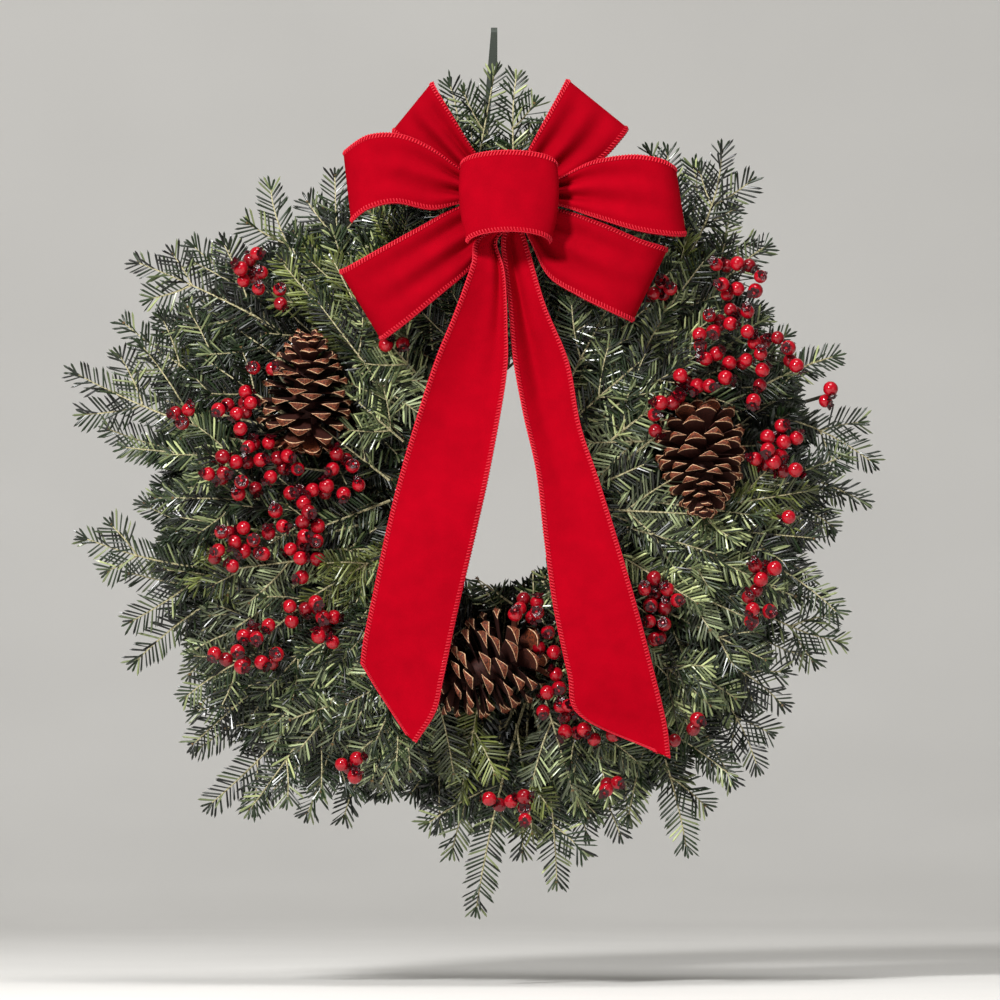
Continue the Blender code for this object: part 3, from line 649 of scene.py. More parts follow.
def velvet_material(settings):
    """Short-pile velvet: matt and deep from the front, pale where the pile turns away."""
    material, shader = new_material(
        "short-pile velvet",
        {
            "Roughness": 0.9, "Sheen Weight": 0.08, "Sheen Roughness": 0.4,
            "Sheen Tint": (*linear("#ff1430"), 1.0), "Specular IOR Level": 0.03,
        },
    )
    # Brushed patches of pile are about 15 mm across. The pile itself, of 0.1 mm threads, is drawn
    # 0.5 mm coarse, because it wouldn't show at its real size.
    patches = noise(material, 15.0, 3.0)
    base = list(settings.velvet_colour)
    colour = ramp(material, patches, [(0.3, [v * 0.86 for v in base]), (0.7, base)])
    # The tint is painted shade: each piece of ribbon is painted darker by how the light falls on
    # it.
    painted_shade = ramp(material, tint_of(material), [(0.0, [0.0] * 3), (1.0, [1.0] * 3)])
    link(material, mix(material, 1.0, colour, painted_shade, "MULTIPLY"), shader, "Base Color")
    bump(material, shader, noise(material, 0.5, 1.0), 0.35, 0.2)
    return material


def thread_material(settings):
    """Filament overlock thread: smooth and brighter than the velvet, in strands of 0.6 mm."""
    material, shader = new_material(
        "filament overlock thread", {"Roughness": 0.45, "Specular IOR Level": 0.2},
    )
    colour = list(settings.thread_colour)
    stops = [(0.3, [v * 0.75 for v in colour]), (0.7, colour)]
    link(material, ramp(material, noise(material, 0.6), stops), shader, "Base Color")
    return material


def berry_material(settings):
    """Lacquered foam berries: deep red under a wet, clear lacquer."""
    material, shader = new_material(
        "lacquered foam berry",
        {"Roughness": 0.5, "Specular IOR Level": 0.05, "Coat Weight": 0.9, "Coat Roughness": 0.11},
    )
    base = list(settings.berry_colour)
    stops = [(0.0, linear("#4a0610")), (0.35, [v * 0.8 for v in base]), (0.8, base)]
    colour = ramp(material, tint_of(material), stops)
    # The colour under the lacquer was sprayed on in patches about 3 mm across.
    patches = ramp(material, noise(material, 3.0), [(0.35, [0.55] * 3), (0.6, [1.0] * 3)])
    patched = mix(material, 1.0, colour, patches, "MULTIPLY")
    link(material, mix(material, 0.6, colour, patched), shader, "Base Color")
    return material


def calyx_material():
    """Crinkled plastic sepals: dark maroon with a hard gloss, in crinkles of 0.8 mm and patches of
    1.5 mm."""
    material, shader = new_material(
        "crinkled plastic sepal", {"Roughness": 0.17, "Specular IOR Level": 0.35},
    )
    stops = [(0.35, linear("#120206")), (0.75, linear("#560914"))]
    link(material, ramp(material, noise(material, 1.5), stops), shader, "Base Color")
    bump(material, shader, noise(material, 0.8), 0.6, 0.4)
    return material


def cone_material(settings):
    """Dry pine cone wood, its grain 1.3 mm wide: dark resinous blades, red-brown shields and pale
    worn rims."""
    material, shader = new_material(
        "dry pine cone wood", {"Roughness": 0.7, "Specular IOR Level": 0.3},
    )
    grain = noise(material, 1.3, 3.0)
    dark = ramp(material, grain, [(0.25, linear("#200c08")), (0.75, list(settings.wood_colour))])
    face = ramp(material, grain, [(0.35, linear("#2c1209")), (0.65, linear("#803c1e"))])
    pale = ramp(material, grain, [(0.3, linear("#b0764e")), (0.62, list(settings.rim_colour))])
    tint = tint_of(material)
    to_face = ramp(material, tint, [(0.12, [0.0] * 3), (0.5, [1.0] * 3)])
    to_pale = ramp(material, tint, [(0.68, [0.0] * 3), (0.9, [1.0] * 3)])
    worn = mix(material, to_pale, mix(material, to_face, dark, face), pale)
    link(material, worn, shader, "Base Color")
    bump(material, shader, grain, 0.6, 0.4)
    return material


def enamel_material(name, code, roughness, metallic=0.0):
    """Baked enamel on wire or sheet, or coloured plastic: satin, in specks about 0.8 mm across."""
    material, shader = new_material(name, {"Metallic": metallic, "Roughness": roughness})
    specks = noise(material, 0.8)
    colour = ramp(material, specks, [(0.35, [v * 0.7 for v in linear(code)]), (0.65, linear(code))])
    link(material, colour, shader, "Base Color")
    bump(material, shader, specks, 0.15, 0.1)
    return material


def plaster_material():
    """Matt painted plaster for the stage: even and pale, with no gloss."""
    material, shader = new_material("matt painted plaster", {"Roughness": 0.9})
    # The paint's tone drifts over patches about 300 mm across.
    stops = [(0.3, linear("#e2e0dc")), (0.7, linear("#e8e6e2"))]
    link(material, ramp(material, noise(material, 300.0), stops), shader, "Base Color")
    # The backdrop has one side, so the wreath's back is in sight from behind it.
    behind = add_node(material, "ShaderNodeNewGeometry", {}).outputs["Backfacing"]
    clear = add_node(material, "ShaderNodeBsdfTransparent", {}).outputs["BSDF"]
    sources = {0: behind, 1: shader.outputs["BSDF"], 2: clear}
    sided = add_node(material, "ShaderNodeMixShader", {}, sources).outputs["Shader"]
    link(material, sided, material.node_tree.nodes["Material Output"], "Surface")
    return material


def grid_faces(high, wide, closed=False):
    """The faces of a grid of points, row by row."""
    rows = np.arange(high if closed else high - 1)[:, None]
    columns = np.arange(wide - 1)
    low = rows * wide + columns
    up = (rows + 1) % high * wide + columns
    return np.stack([low, low + 1, up + 1, up], axis=2).reshape(-1, 4)


def grid_normals(grid, closed=False):
    """The way that a grid of points faces at each of them."""
    if closed:
        along = np.roll(grid, -1, 0) - np.roll(grid, 1, 0)
    else:
        along = np.gradient(grid, axis=0)
    return unit(np.cross(along, np.gradient(grid, axis=1)))


def add_sheet(shape, grid, thickness, closed=False, tint=1.0):
    """A thin solid round a grid of points. It gives back the normals."""
    high, wide = grid.shape[:2]
    normals = grid_normals(grid, closed)
    faces = grid_faces(high, wide, closed)
    total = high * wide
    rim = [list(range(0, total, wide)), list(range(wide - 1, total, wide))]
    if not closed:
        rim += [list(range(wide)), list(range(total - wide, total))]
    sides = []
    for number, line in enumerate(rim):
        ends = zip(line, line[1:] + line[:1]) if closed else zip(line, line[1:])
        for a, b in ends:
            quad = (a, b, b + total, a + total)
            sides.append(quad if number in (0, 3) else quad[::-1])
    points = np.concatenate([(grid + normals * thickness / 2).reshape(-1, 3),
                             (grid - normals * thickness / 2).reshape(-1, 3)])
    shape.add(points, np.concatenate([faces[:, ::-1], faces + total, np.array(sides)]), 0, tint)
    return normals


# An overlock stitch runs in front from 3.2 mm inside the edge, over it, and back behind: how far
# ahead it is, how deep inside the edge, how proud of the ribbon, and how far it turns over.
STITCH_PATH = (
    (1.3, 3.2, 0.6, 0.0), (0.65, 1.5, 0.95, 0.15), (0.0, -0.6, 0.0, 1.0),
    (-0.65, 1.5, -0.95, 0.15), (-1.3, 3.2, -0.6, 0.0),
)
# Its section, along the edge and off the ribbon, and the cord that it is laid over.
STITCH_SECTION = ((-0.85, -0.3), (0.85, -0.3), (0.0, 0.6))
CORD_RADIUS = 0.55


def add_stitches(shape, edge, inward, normals, spacing, closed=False):
    """Overlock thread over a ribbon's edge: a slim cord, with a slanting stitch every spacing."""
    shape.add(*tube(edge, CORD_RADIUS, 6, closed))
    if closed:
        edge, inward, normals = [np.concatenate([v, v[:1]]) for v in (edge, inward, normals)]
    lengths = lengths_along(edge)
    places = np.arange(spacing / 2, lengths[-1] - spacing / 3, spacing)
    rings = []
    way = unit(between(places + 0.5, lengths, edge) - between(places - 0.5, lengths, edge))
    for shift, deep, proud, tilt in STITCH_PATH:
        at = [between(places + shift, lengths, values) for values in (edge, inward, normals)]
        inner, normal = unit(at[1]), unit(at[2])
        centre = at[0] + inner * deep + normal * proud
        lift = unit(normal * (1 if proud >= 0 else -1) * (1 - tilt) - inner * tilt)
        for across, high in STITCH_SECTION:
            rings.append(centre + way * across + lift * high)
    rings = np.stack(rings, axis=1)
    base = np.arange(len(places))[:, None, None] * rings.shape[1]
    faces = ring_faces(len(STITCH_PATH), len(STITCH_SECTION))
    shape.add(rings, (faces[None] + base).reshape(-1, 4))


# Where a needle is widest along its length, how high its ridge stands and how wide its foot is,
# as shares of half its width.
WIDEST_FINE, WIDEST_DEEP = 0.84, 0.6
NEEDLE_RIDGE, NEEDLE_FOOT = 0.95, 0.75
# Deep needles are fewer and drawn this much wider, to close the foliage with fewer faces.
DEEP_NEEDLE_WIDER = 1.9


def add_needles(shape, roots, ways, ups, sweeps, lengths, tints, sides_seen, width, fine):
    """Slim, blunt needles folded along a ridge. Fine ones keep their width down to the twig, and
    the deeper ones start from a point. Each shows its upper side (0) or its underside (1)."""
    sides = unit(np.cross(ways, ups))
    ridges = np.cross(sides, ways)
    size = lengths[:, None]
    half = width / 2
    place = WIDEST_FINE if fine else WIDEST_DEEP
    middle = roots + ways * size * place + sweeps * place**2
    tip = roots + ways * size + sweeps
    crest = middle + ridges * half * NEEDLE_RIDGE
    around = [middle - sides * half, middle + sides * half, crest]
    if fine:
        foot = sides * half * NEEDLE_FOOT
        begin = [roots - foot, roots + foot]
        faces = [(0, 4, 2), (0, 1, 4), (1, 3, 4), (2, 4, 5), (3, 5, 4)]
    else:
        begin = [roots]
        faces = [(0, 3, 1), (0, 2, 3), (1, 3, 4), (2, 4, 3)]
    points = np.stack([*begin, *around, tip], axis=1)
    base = np.arange(len(roots))[:, None, None] * points.shape[1]
    placed = (np.array(faces)[None] + base).reshape(-1, 3)
    shape.add(points, placed, np.repeat(sides_seen, len(faces)), np.repeat(tints, points.shape[1]))


# The shares of needles painted pale, for their wax and a painted glint, and how far apart the
# needles are, in spacings, on a bunch's outer sprays and on the rest, and on the deep ones.
OUTER_BLOOM_GLINT, INNER_BLOOM_GLINT = 0.22, 0.32
OUTER_SPARSE, INNER_SPARSE, DEEP_SPARSE = 1.2, 1.0, 1.2

# How a shoot's needles stand, in degrees: their lean from the twig, how much that closes at its
# tip and on the needles above it, and their lift off its plane. Then the share above it, their
# lift, and how long the closing tip is.
NEEDLE_LEAN, LEAN_LESS_AT_TIP, LEAN_LESS_ABOVE = 64, 22, 24
NEEDLE_LIFT, NEEDLE_LIFT_VARIES = 10, 6
SHARE_ABOVE, LIFT_ABOVE = 0.09, (35, 75)
TIP_LENGTH = 26

# Needles bend towards their twig's tip and droop by these shares of their length.
NEEDLE_SWEEP, NEEDLE_DROOP = 0.15, 0.04

# A twig's radius where it starts, for a spray's main twig and for its side shoots, and at its end.
TWIG_RADIUS, SIDE_TWIG_RADIUS, TWIG_END_RADIUS = 1.15, 0.8, 0.5

# Side shoots: the least and most of their length, and their turn from the twig, in degrees.
SIDE_SHOOT_LENGTH, SIDE_SHOOT_TURN = (22, 66), 46
# This year's growth is this long on a spray, and last year's a little more.
THIS_YEAR, LAST_YEAR = (38, 58), (42, 58)

# How near the made pieces a needle and a twig may come.
NEEDLE_CLEARANCE, TWIG_CLEARANCE, SIDE_TWIG_CLEARANCE = 1.2, 2.6, 2.4

# The numbers that a bunch's materials have: a needle's two sides come first.
TWIG_MATERIAL, BUD_MATERIAL = 2, 3


class Bunch:
    """The twigs, buds and needles of one bunch of fir."""

    def __init__(self, settings, keep_out, rng):
        self.shape = Shape()
        self.needles = {True: [], False: []}
        self.keep_out = keep_out
        self.rng = rng
        self.length = settings.needle_length / MM
        self.width = settings.needle_width / MM
        self.pitch = settings.needle_pitch / MM / 2
        self.fine = True
        self.young = False
        self.bloom, self.sparse = OUTER_BLOOM_GLINT, OUTER_SPARSE

    def shoot(self, path, face, bare, flip, tint, radius):
        """One twig with needles in two ranks, a few above, and a fan at its tip."""
        total = path_length(path)
        rng = self.rng
        pitch = self.pitch * (self.sparse if self.fine else DEEP_SPARSE)
        places = np.arange(bare, total, pitch)
        if len(places) < 3:
            return
        count = len(places)
        roots, along = along_path(path, places + rng.uniform(-0.4, 0.4, count))
        normal = unit(face - along * (along @ face)[:, None])
        side = np.cross(along, normal)
        share = places / total
        sign = np.where(np.arange(count) % 2, 1.0, -1.0)
        lift = np.radians(rng.normal(NEEDLE_LIFT, NEEDLE_LIFT_VARIES, count))
        upper = rng.random(count) < SHARE_ABOVE
        lift[upper] = np.radians(rng.uniform(*LIFT_ABOVE, upper.sum()))
        near_tip = np.clip((places - total + TIP_LENGTH) / TIP_LENGTH, 0, 1)
        lean = NEEDLE_LEAN - LEAN_LESS_AT_TIP * near_tip**2 - LEAN_LESS_ABOVE * upper
        turn = np.radians(lean + rng.normal(0, 3, count))
        up = normal * (-1 if flip else 1)
        sideways = side * (sign * np.cos(lift))[:, None] + up * np.sin(lift)[:, None]
        ways = unit(along * np.cos(turn)[:, None] + sideways * np.sin(turn)[:, None])
        taper = np.interp(share, [0, 0.15, 0.8, 1], [0.8, 1.0, 0.97, 0.72])
        sizes = self.length * taper * rng.uniform(0.86, 1.08, count)
        roll = rng.normal(0, 0.45, count)
        ups = up * np.cos(roll)[:, None] + np.cross(ways, up) * np.sin(roll)[:, None]
        ahead, down = sizes[:, None] * NEEDLE_SWEEP, sizes[:, None] * NEEDLE_DROOP
        sweeps = along * ahead - up * down
        # Some needles are painted pale, for their wax and a painted glint, and some darker, at
        # random.
        worn = rng.random(count)
        tints = tint + rng.normal(0, 0.07, count)
        tints = tints + np.where(worn < self.bloom, rng.uniform(0.2, 0.6, count), 0)
        tints = tints - np.where(worn > 0.75, rng.uniform(0.05, 0.3, count), 0)
        self.keep(roots, ways, ups, sweeps, sizes, tints, flip)
        self.fan(path[-1], along[-1], normal[-1], flip, tint)
        radii = np.linspace(radius, TWIG_END_RADIUS, len(path))
        # Twigs of the deep sprays get a low tint and are darker.
        bark = 0.9 if self.fine else 0.3
        self.shape.add(*tube(path, radii, 4), TWIG_MATERIAL, bark)
        if self.fine:
            self.bud(path[-1] + along[-1] * 0.8, along[-1])

    def fan(self, end, along, normal, flip, tint):
        """The needles that close round a bud."""
        rng = self.rng
        count, widest = 3, 24
        turns = np.radians(np.linspace(-widest, widest, count) + rng.normal(0, 4, count))
        side = np.cross(along, normal)
        up = normal * (-1 if flip else 1)
        lift = rng.normal(0.1, 0.25, count)[:, None] * up
        ways = unit(np.outer(np.cos(turns), along) + np.outer(np.sin(turns), side) + lift)
        roots = np.tile(end, (count, 1)) - along * rng.uniform(0, 1, count)[:, None]
        sizes = self.length * rng.uniform(0.52, 0.72, count)
        ups = np.tile(up, (count, 1))
        tints = tint + 0.1 + rng.normal(0, 0.15, count)
        self.keep(roots, ways, ups, ways * 0, sizes, tints, flip)

    def keep(self, roots, ways, ups, sweeps, sizes, tints, flip):
        """Takes up the needles that are clear of the hole, the door and the made pieces."""
        tips = roots + ways * sizes[:, None] + sweeps
        # Needles that lie 6 to 32 mm under the foliage's surface are painted dark: painted shade,
        # for the light that doesn't reach them.
        far = np.hypot(roots[:, 0], roots[:, 1])
        depth = np.clip((np.interp(far, *FOLIAGE_SURFACE) - roots[:, 2] - 6) / 26, 0, 1)
        # The painted shade is less at its back, its outer rim and the hole's rim, which light
        # reaches too.
        depth *= 1 - 0.45 * np.clip((26 - roots[:, 2]) / 16, 0, 1)
        depth *= 1 - 0.6 * np.clip((far - 215) / 25, 0, 1)
        depth *= 1 - 0.6 * np.clip((98 - far) / 20, 0, 1)
        tints = np.clip(tints, 0, 1) * (1 - 0.9 * depth)
        # The colour ramp holds grown needles in its first half and young ones from 0.6 on.
        tints = 0.6 + 0.4 * tints if self.young else 0.5 * tints
        kept = past_hole(tips, self.rng.uniform(0, 9)) & (tips[:, 2] > BACK_OUT)
        kept[kept] = self.keep_out.clear(tips[kept], NEEDLE_CLEARANCE)
        middles = roots + ways * sizes[:, None] * 0.5
        kept[kept] = self.keep_out.clear(middles[kept], NEEDLE_CLEARANCE)
        seen = np.full(len(roots), int(flip))
        parts = (roots, ways, ups, sweeps, sizes, tints, seen)
        self.needles[self.fine].append([part[kept] for part in parts])

    def bud(self, place, along):
        """Three resinous buds at a twig's end."""
        side = unit(np.cross(along, BUD_ASKEW))
        for way in (along, unit(along + side * 0.8), unit(along - side * 0.8)):
            other = np.cross(way, side)
            across = np.cross(other, way)
            belly = [place + way * 1.2 + v * 0.7 for v in (across, other, -across, -other)]
            points = [place - way * 0.3, *belly, place + way * 2.6]
            pairs = ((1, 2), (2, 3), (3, 4), (4, 1))
            faces = [(0, b, a) for a, b in pairs] + [(5, a, b) for a, b in pairs]
            self.shape.add(points, faces, BUD_MATERIAL)

    def spray(self, start, bend, tip, bare, flip, tint, twist=0.22, side_share=0.72, paired=1.0):
        """A twig with a pair of side shoots at each year's joint, all about in one plane. It ends
        where it would meet a made piece."""
        rng = self.rng
        steps = 10
        path = bezier(*[np.asarray(point, float) for point in (start, bend, tip)], steps)
        total = path_length(path)
        clear = self.keep_out.clear(path, TWIG_CLEARANCE) & past_hole(path, 3.0)
        first = int(np.ceil(bare / total * steps))
        blocked = np.nonzero(~clear[first:])[0]
        if len(blocked):
            if blocked[0] < 4:
                return
            path = path[: first + blocked[0]]
            total = path_length(path)
        face = unit(np.array([rng.normal(0, twist), rng.normal(0, twist), 1.0]))
        self.shoot(path, face, bare, flip, tint, TWIG_RADIUS)
        last = total - rng.uniform(*THIS_YEAR)
        places = [place for place in (last, last - rng.uniform(*LAST_YEAR)) if place > bare + 3]
        if not places:
            return
        nodes, ways = along_path(path, places)
        for node, way, place in zip(nodes, ways, places):
            normal = unit(face - way * (way @ face))
            side = np.cross(way, normal)
            if self.fine:
                self.bud(node - way, way)
            for sign in (-1, 1):
                if rng.random() > paired:
                    continue
                size = (total - place) * side_share * rng.uniform(0.8, 1.1)
                size = np.clip(size, *SIDE_SHOOT_LENGTH)
                turn = math.radians(SIDE_SHOOT_TURN + rng.normal(0, 4))
                flat = way * math.cos(turn) + side * sign * math.sin(turn)
                out = unit(flat + normal * rng.normal(0, 0.1))
                end = node + out * size * 0.95 + way * size * 0.2
                branch = bezier(node, node + out * size * 0.5, end, 4)
                clear = self.keep_out.clear(branch[1:], SIDE_TWIG_CLEARANCE).all()
                if clear and past_hole(branch, 8.0).all():
                    shade = np.clip(tint + rng.normal(0, 0.06), 0, 1)
                    self.shoot(branch, face, 6.0, flip, shade, SIDE_TWIG_RADIUS)

    def make(self, name, materials):
        """The bunch's object, with its needles."""
        for fine, found in self.needles.items():
            parts = [np.concatenate(part) for part in zip(*found)]
            width = self.width * (1.0 if fine else DEEP_NEEDLE_WIDER)
            add_needles(self.shape, *parts, width, fine)
        return self.shape.make(name, materials, smooth=False)


def past_hole(points, margin):
    """Whether points lie this far outside the hole, which runs up to a peak behind the bow."""
    turns = np.degrees(np.arctan2(points[:, 1], points[:, 0]))
    edge = HOLE_RADIUS + HOLE_PEAK * np.exp(-(((turns - HOLE_PEAK_AT) / HOLE_PEAK_WIDE) ** 2))
    return np.hypot(points[:, 0], points[:, 1]) > edge + margin


def body_reach(degrees):
    """How far the dense foliage reaches at this bearing, from the outer sprays near it."""
    turn = math.radians(degrees)
    way = np.array([math.cos(turn), math.sin(turn)])
    tips = np.array([tip for tip, _ in MAIN_SPRAYS], float)
    far = np.linalg.norm(tips, axis=1)
    near = np.exp(-((1 - (tips / far[:, None]) @ way) / 0.025))
    return float(np.clip((far * near).sum() / near.sum() * 0.85, 226, 268))


# How far out the foliage's surface lies at these radii. Needles under it are painted in shade.
FOLIAGE_SURFACE = ((62, 100, 180, 240, 300), (75, 100, 98, 76, 48))

# Each tier of a bunch: radius and out where its sprays start, out at their tips, how far they
# run (0 runs to the foliage's edge), how many there are, how far they slant, and if they're fine.
TIERS = (
    (84, 86, 104, 92, 3, 13, True),
    (112, 84, 98, 98, 5, 13, True),
    (145, 76, 86, 98, 5, 12, True),
    (172, 60, 66, 0, 6, 12, True),
    (165, 48, 46, 0, 11, 16, False),
    (178, 38, 32, 0, 12, 20, False),
    (155, 30, 22, 0, 11, 24, False),
    (188, 22, 12, 0, 12, 28, False),
    (92, 30, 46, 85, 7, 50, False),
    (118, 22, 22, 80, 8, 60, False),
    (165, 20, 14, 75, 6, 70, False),
    (105, 50, 70, 80, 6, 40, False),
)

# The deep sprays at the hole's rim, by how far out their tips lie. The front ones are fine.
RIM_OUTS = (12, 20, 28, 36, 44, 52, 60, 70, 82, 95)

# The tints that a spray's needles may have, from fresh green to paler, and how common each is.
SPRAY_TINTS = (0.12, 0.25, 0.4, 0.55)
SPRAY_TINT_SHARES = (0.38, 0.32, 0.2, 0.1)


def degrees_from(bearing, place):
    """How far round the ring a place is from this bearing, from -180 to 180 degrees."""
    turn = math.degrees(math.atan2(place[1], place[0]))
    return (turn - bearing + 180) % 360 - 180


def in_bunch(bearing, place):
    """Whether a place is in the bunch at this bearing."""
    return -HALF_BUNCH <= degrees_from(bearing, place) < HALF_BUNCH


def grow_outer_sprays(bunch, bearing):
    """The long sprays that the photograph shows at the edge, each with two shorter ones behind."""
    rng = bunch.rng
    for number, (tip, seen) in enumerate(MAIN_SPRAYS):
        if not in_bunch(bearing, seen):
            continue
        height = 50 + 38 * (number * GOLDEN % 1)
        near_butt = bearing + math.copysign(4, degrees_from(bearing, seen))
        start = on_ring(near_butt, RING_RADIUS, BUTT_OUT)
        way = unit(np.array([*tip, 0.0]) - np.array([*seen, 0.0]))
        # The last needles reach 11 mm past the twig.
        end = np.array([*tip, height * 0.8]) - way * 11
        bend = np.array([*seen, height])
        bare = float(np.linalg.norm(bend - start)) * 0.5
        tint = rng.uniform(0.05, 0.35)
        bunch.spray(start, bend, end, bare, False, tint, twist=0.12, side_share=0.66, paired=0.6)
        for side, low in ((-1, 12), (1, 20)):
            turn = math.radians(side * rng.uniform(4.0, 7.0))
            cos, sin = math.cos(turn), math.sin(turn)
            spin = np.array([[cos, sin, 0], [-sin, cos, 0], [0, 0, 1]])
            short = rng.uniform(0.84, 0.93)
            ends = [(point * [short, short, 1.0]) @ spin - [0, 0, low] for point in (bend, end)]
            flip, tint = rng.random() < 0.1, rng.uniform(0.1, 0.4)
            bunch.spray(start, *ends, bare, flip, tint, twist=0.12, side_share=0.5, paired=0.15)


def grow_tier(bunch, bearing, begin, out_start, out_tip, run, count, slant_most, fine):
    """One tier of sprays, which run outwards side by side."""
    rng = bunch.rng
    bunch.fine = fine
    for number in range(count):
        place = number + rng.uniform(0.15, 0.85)
        turn = bearing - HALF_BUNCH + 2 * HALF_BUNCH * place / count
        slant = math.radians(turn + rng.normal(0, slant_most))
        start = on_ring(turn, begin + rng.uniform(-10, 10), out_start)
        reach = run or body_reach(turn) - begin - 8
        reach *= rng.uniform(0.86, 1.04)
        tip = start + np.array([math.cos(slant), math.sin(slant), 0.0]) * reach
        far = math.hypot(tip[0], tip[1])
        tip[:2] *= min(1.0, (body_reach(turn) + 4) / far)
        tip[2] = out_tip - 6 + rng.uniform(-7, 7)
        bend = start + (tip - start) * 0.5
        bend[2] = max(out_start, out_tip) + rng.uniform(-4, 6)
        # More sprays low on the wreath show their pale undersides.
        flip = rng.random() < (0.3 if tip[1] < -90 else 0.12)
        # Deep sprays' tints are halved: painted shade, for their place under the front sprays.
        tint = rng.choice(SPRAY_TINTS, p=SPRAY_TINT_SHARES) * (1.0 if fine else 0.5)
        bunch.young = rng.random() < 0.1
        bunch.spray(start, bend, tip, 10.0, flip, tint, 0.22 if fine else 0.5)
    bunch.young = False


def grow_rim(bunch, bearing):
    """The sprays that run inwards and close the foliage round the hole."""
    rng = bunch.rng
    for number, out in enumerate(RIM_OUTS):
        bunch.fine = out > 60
        turn = bearing + HALF_BUNCH * (2 * (number * GOLDEN % 1) - 1)
        start = on_ring(turn, 145, max(46, out - 12))
        tip = on_ring(turn + rng.normal(0, 14), HOLE_RADIUS + 16, out)
        bend = (start + tip) / 2 + [0, 0, 5]
        bunch.spray(start, bend, tip, 10.0, rng.random() < 0.2, rng.uniform(0.05, 0.4))
    bunch.fine = True
    for _ in range(3):
        turn = bearing + rng.uniform(-HALF_BUNCH, HALF_BUNCH)
        start = on_ring(turn + rng.normal(0, 10), 116, 26)
        tip = on_ring(turn, HOLE_RADIUS + rng.uniform(12, 20), rng.uniform(42, 76))
        bend = (start + tip) / 2 + [0, 0, 12]
        bunch.spray(start, bend, tip, 8.0, False, rng.uniform(0.1, 0.5))
    for begin, end in HOLE_SPRAYS:
        start, tip = from_photo(begin, 74.0), from_photo(end, 84.0)
        if in_bunch(bearing, start):
            bunch.spray(start, (start + tip) / 2 + [0, 0, 4], tip, 3.0, False, 0.35, 0.1)


def add_butt(shape, bearing, rng):
    """The cut twig ends that a prong holds: six round a seventh."""
    middle = on_ring(bearing, RING_RADIUS, BUTT_OUT)
    along = on_ring(bearing + 90, 1.0, 0.0)
    outward = on_ring(bearing, 1.0, 0.0)
    sides = 7
    for number in range(7):
        angle = 2 * math.pi * number / 6
        spread = 0.0 if number == 6 else BUTT_SPREAD
        centre = middle + (outward * math.cos(angle) + [0, 0, math.sin(angle)]) * spread
        halves = [BUTT_LENGTH / 2 + rng.uniform(-4, 3) for _ in range(2)]
        ends = np.array([centre - along * halves[0], centre + along * halves[1]])
        points, faces = tube(ends, rng.uniform(*BUTT_TWIG_RADII), sides)
        shape.add(points, faces, TWIG_MATERIAL, 0.2)
        shape.add(points[:sides], [range(sides)[::-1]], TWIG_MATERIAL, 1.0)
        shape.add(points[sides:], [range(sides)], TWIG_MATERIAL, 1.0)


def grow_bunch(index, settings, keep_out, materials):
    """One bunch: its outer sprays at their places, then its tiers from front to back."""
    bearing = FIRST_BUNCH_DEGREES + 2 * HALF_BUNCH * index
    bunch = Bunch(settings, keep_out, np.random.default_rng(40 + index))
    grow_outer_sprays(bunch, bearing)
    bunch.bloom, bunch.sparse = INNER_BLOOM_GLINT, INNER_SPARSE
    for tier in TIERS:
        grow_tier(bunch, bearing, *tier)
    grow_rim(bunch, bearing)
    add_butt(bunch.shape, bearing, bunch.rng)
    name = f"fir_bunch_{index + 1:02d}"
    made = bunch.make(name + "_sprays", materials)
    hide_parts(name)


def ball(columns=14, rows=9):
    """A unit ball's points and faces, with its end along the third axis."""
    tilt = np.linspace(0, math.pi, rows + 1)[:, None]
    turn = np.arange(columns) * 2 * math.pi / columns
    x, y = np.sin(tilt) * np.cos(turn), np.sin(tilt) * np.sin(turn)
    points = np.stack([x, y, np.cos(tilt) + 0 * turn], axis=2)
    return points.reshape(-1, 3), ring_faces(rows + 1, columns)[:, [0, 3, 2, 1]]


def frame_of(way):
    """Three unit vectors, the last of them along the way."""
    way = unit(np.asarray(way, float))
    side = unit(np.cross(way, AXES_ASKEW))
    return np.stack([side, np.cross(way, side), way])


# A sepal's half width at places along it, both as shares of its length.
SEPALS = 6
SEPAL_SHAPE = ((0.0, 0.24), (0.45, 0.42), (0.8, 0.28), (1.0, 0.04))

# The numbers that a pick's materials have.
BERRY_MATERIAL, SEPAL_MATERIAL, STEM_MATERIAL = 0, 1, 2


def add_berry(shape, centre, radius, blossom, rng, tint):
    """A lacquered berry with a crown of curled sepals round its blossom end."""
    axes = frame_of(blossom)
    points, faces = ball()
    dent = 1 - 0.10 * np.clip(points[:, 2] - 0.86, 0, 1) / 0.14
    skin = centre + (points * dent[:, None] * radius) @ axes
    shape.add(skin, faces, BERRY_MATERIAL, tint)
    for number in range(SEPALS):
        turn = 2 * math.pi * number / SEPALS + rng.uniform(-0.3, 0.3)
        away = np.array([math.cos(turn), math.sin(turn), 0.0])
        across = np.array([-math.sin(turn), math.cos(turn), 0.0])
        size = radius * rng.uniform(0.65, 0.95)
        curl = rng.uniform(0.3, 1.1)
        base = np.array([0, 0, radius * 0.93]) + away * radius * 0.2
        grid = []
        for share, wide in SEPAL_SHAPE:
            ridge = base + away * size * share * math.cos(curl * share)
            rise = 0.55 * share - 0.55 * curl * share**2 + 0.12
            ridge = ridge + np.array([0, 0, size * rise])
            crinkle = rng.uniform(-0.12, 0.12) * size
            for side in (-1, 0, 1):
                fold = np.array([0, 0, crinkle * (side == 0)])
                grid.append(ridge + across * side * wide * size + fold)
        faces = grid_faces(len(SEPAL_SHAPE), 3)
        shape.add(centre + np.array(grid) @ axes, faces, SEPAL_MATERIAL)


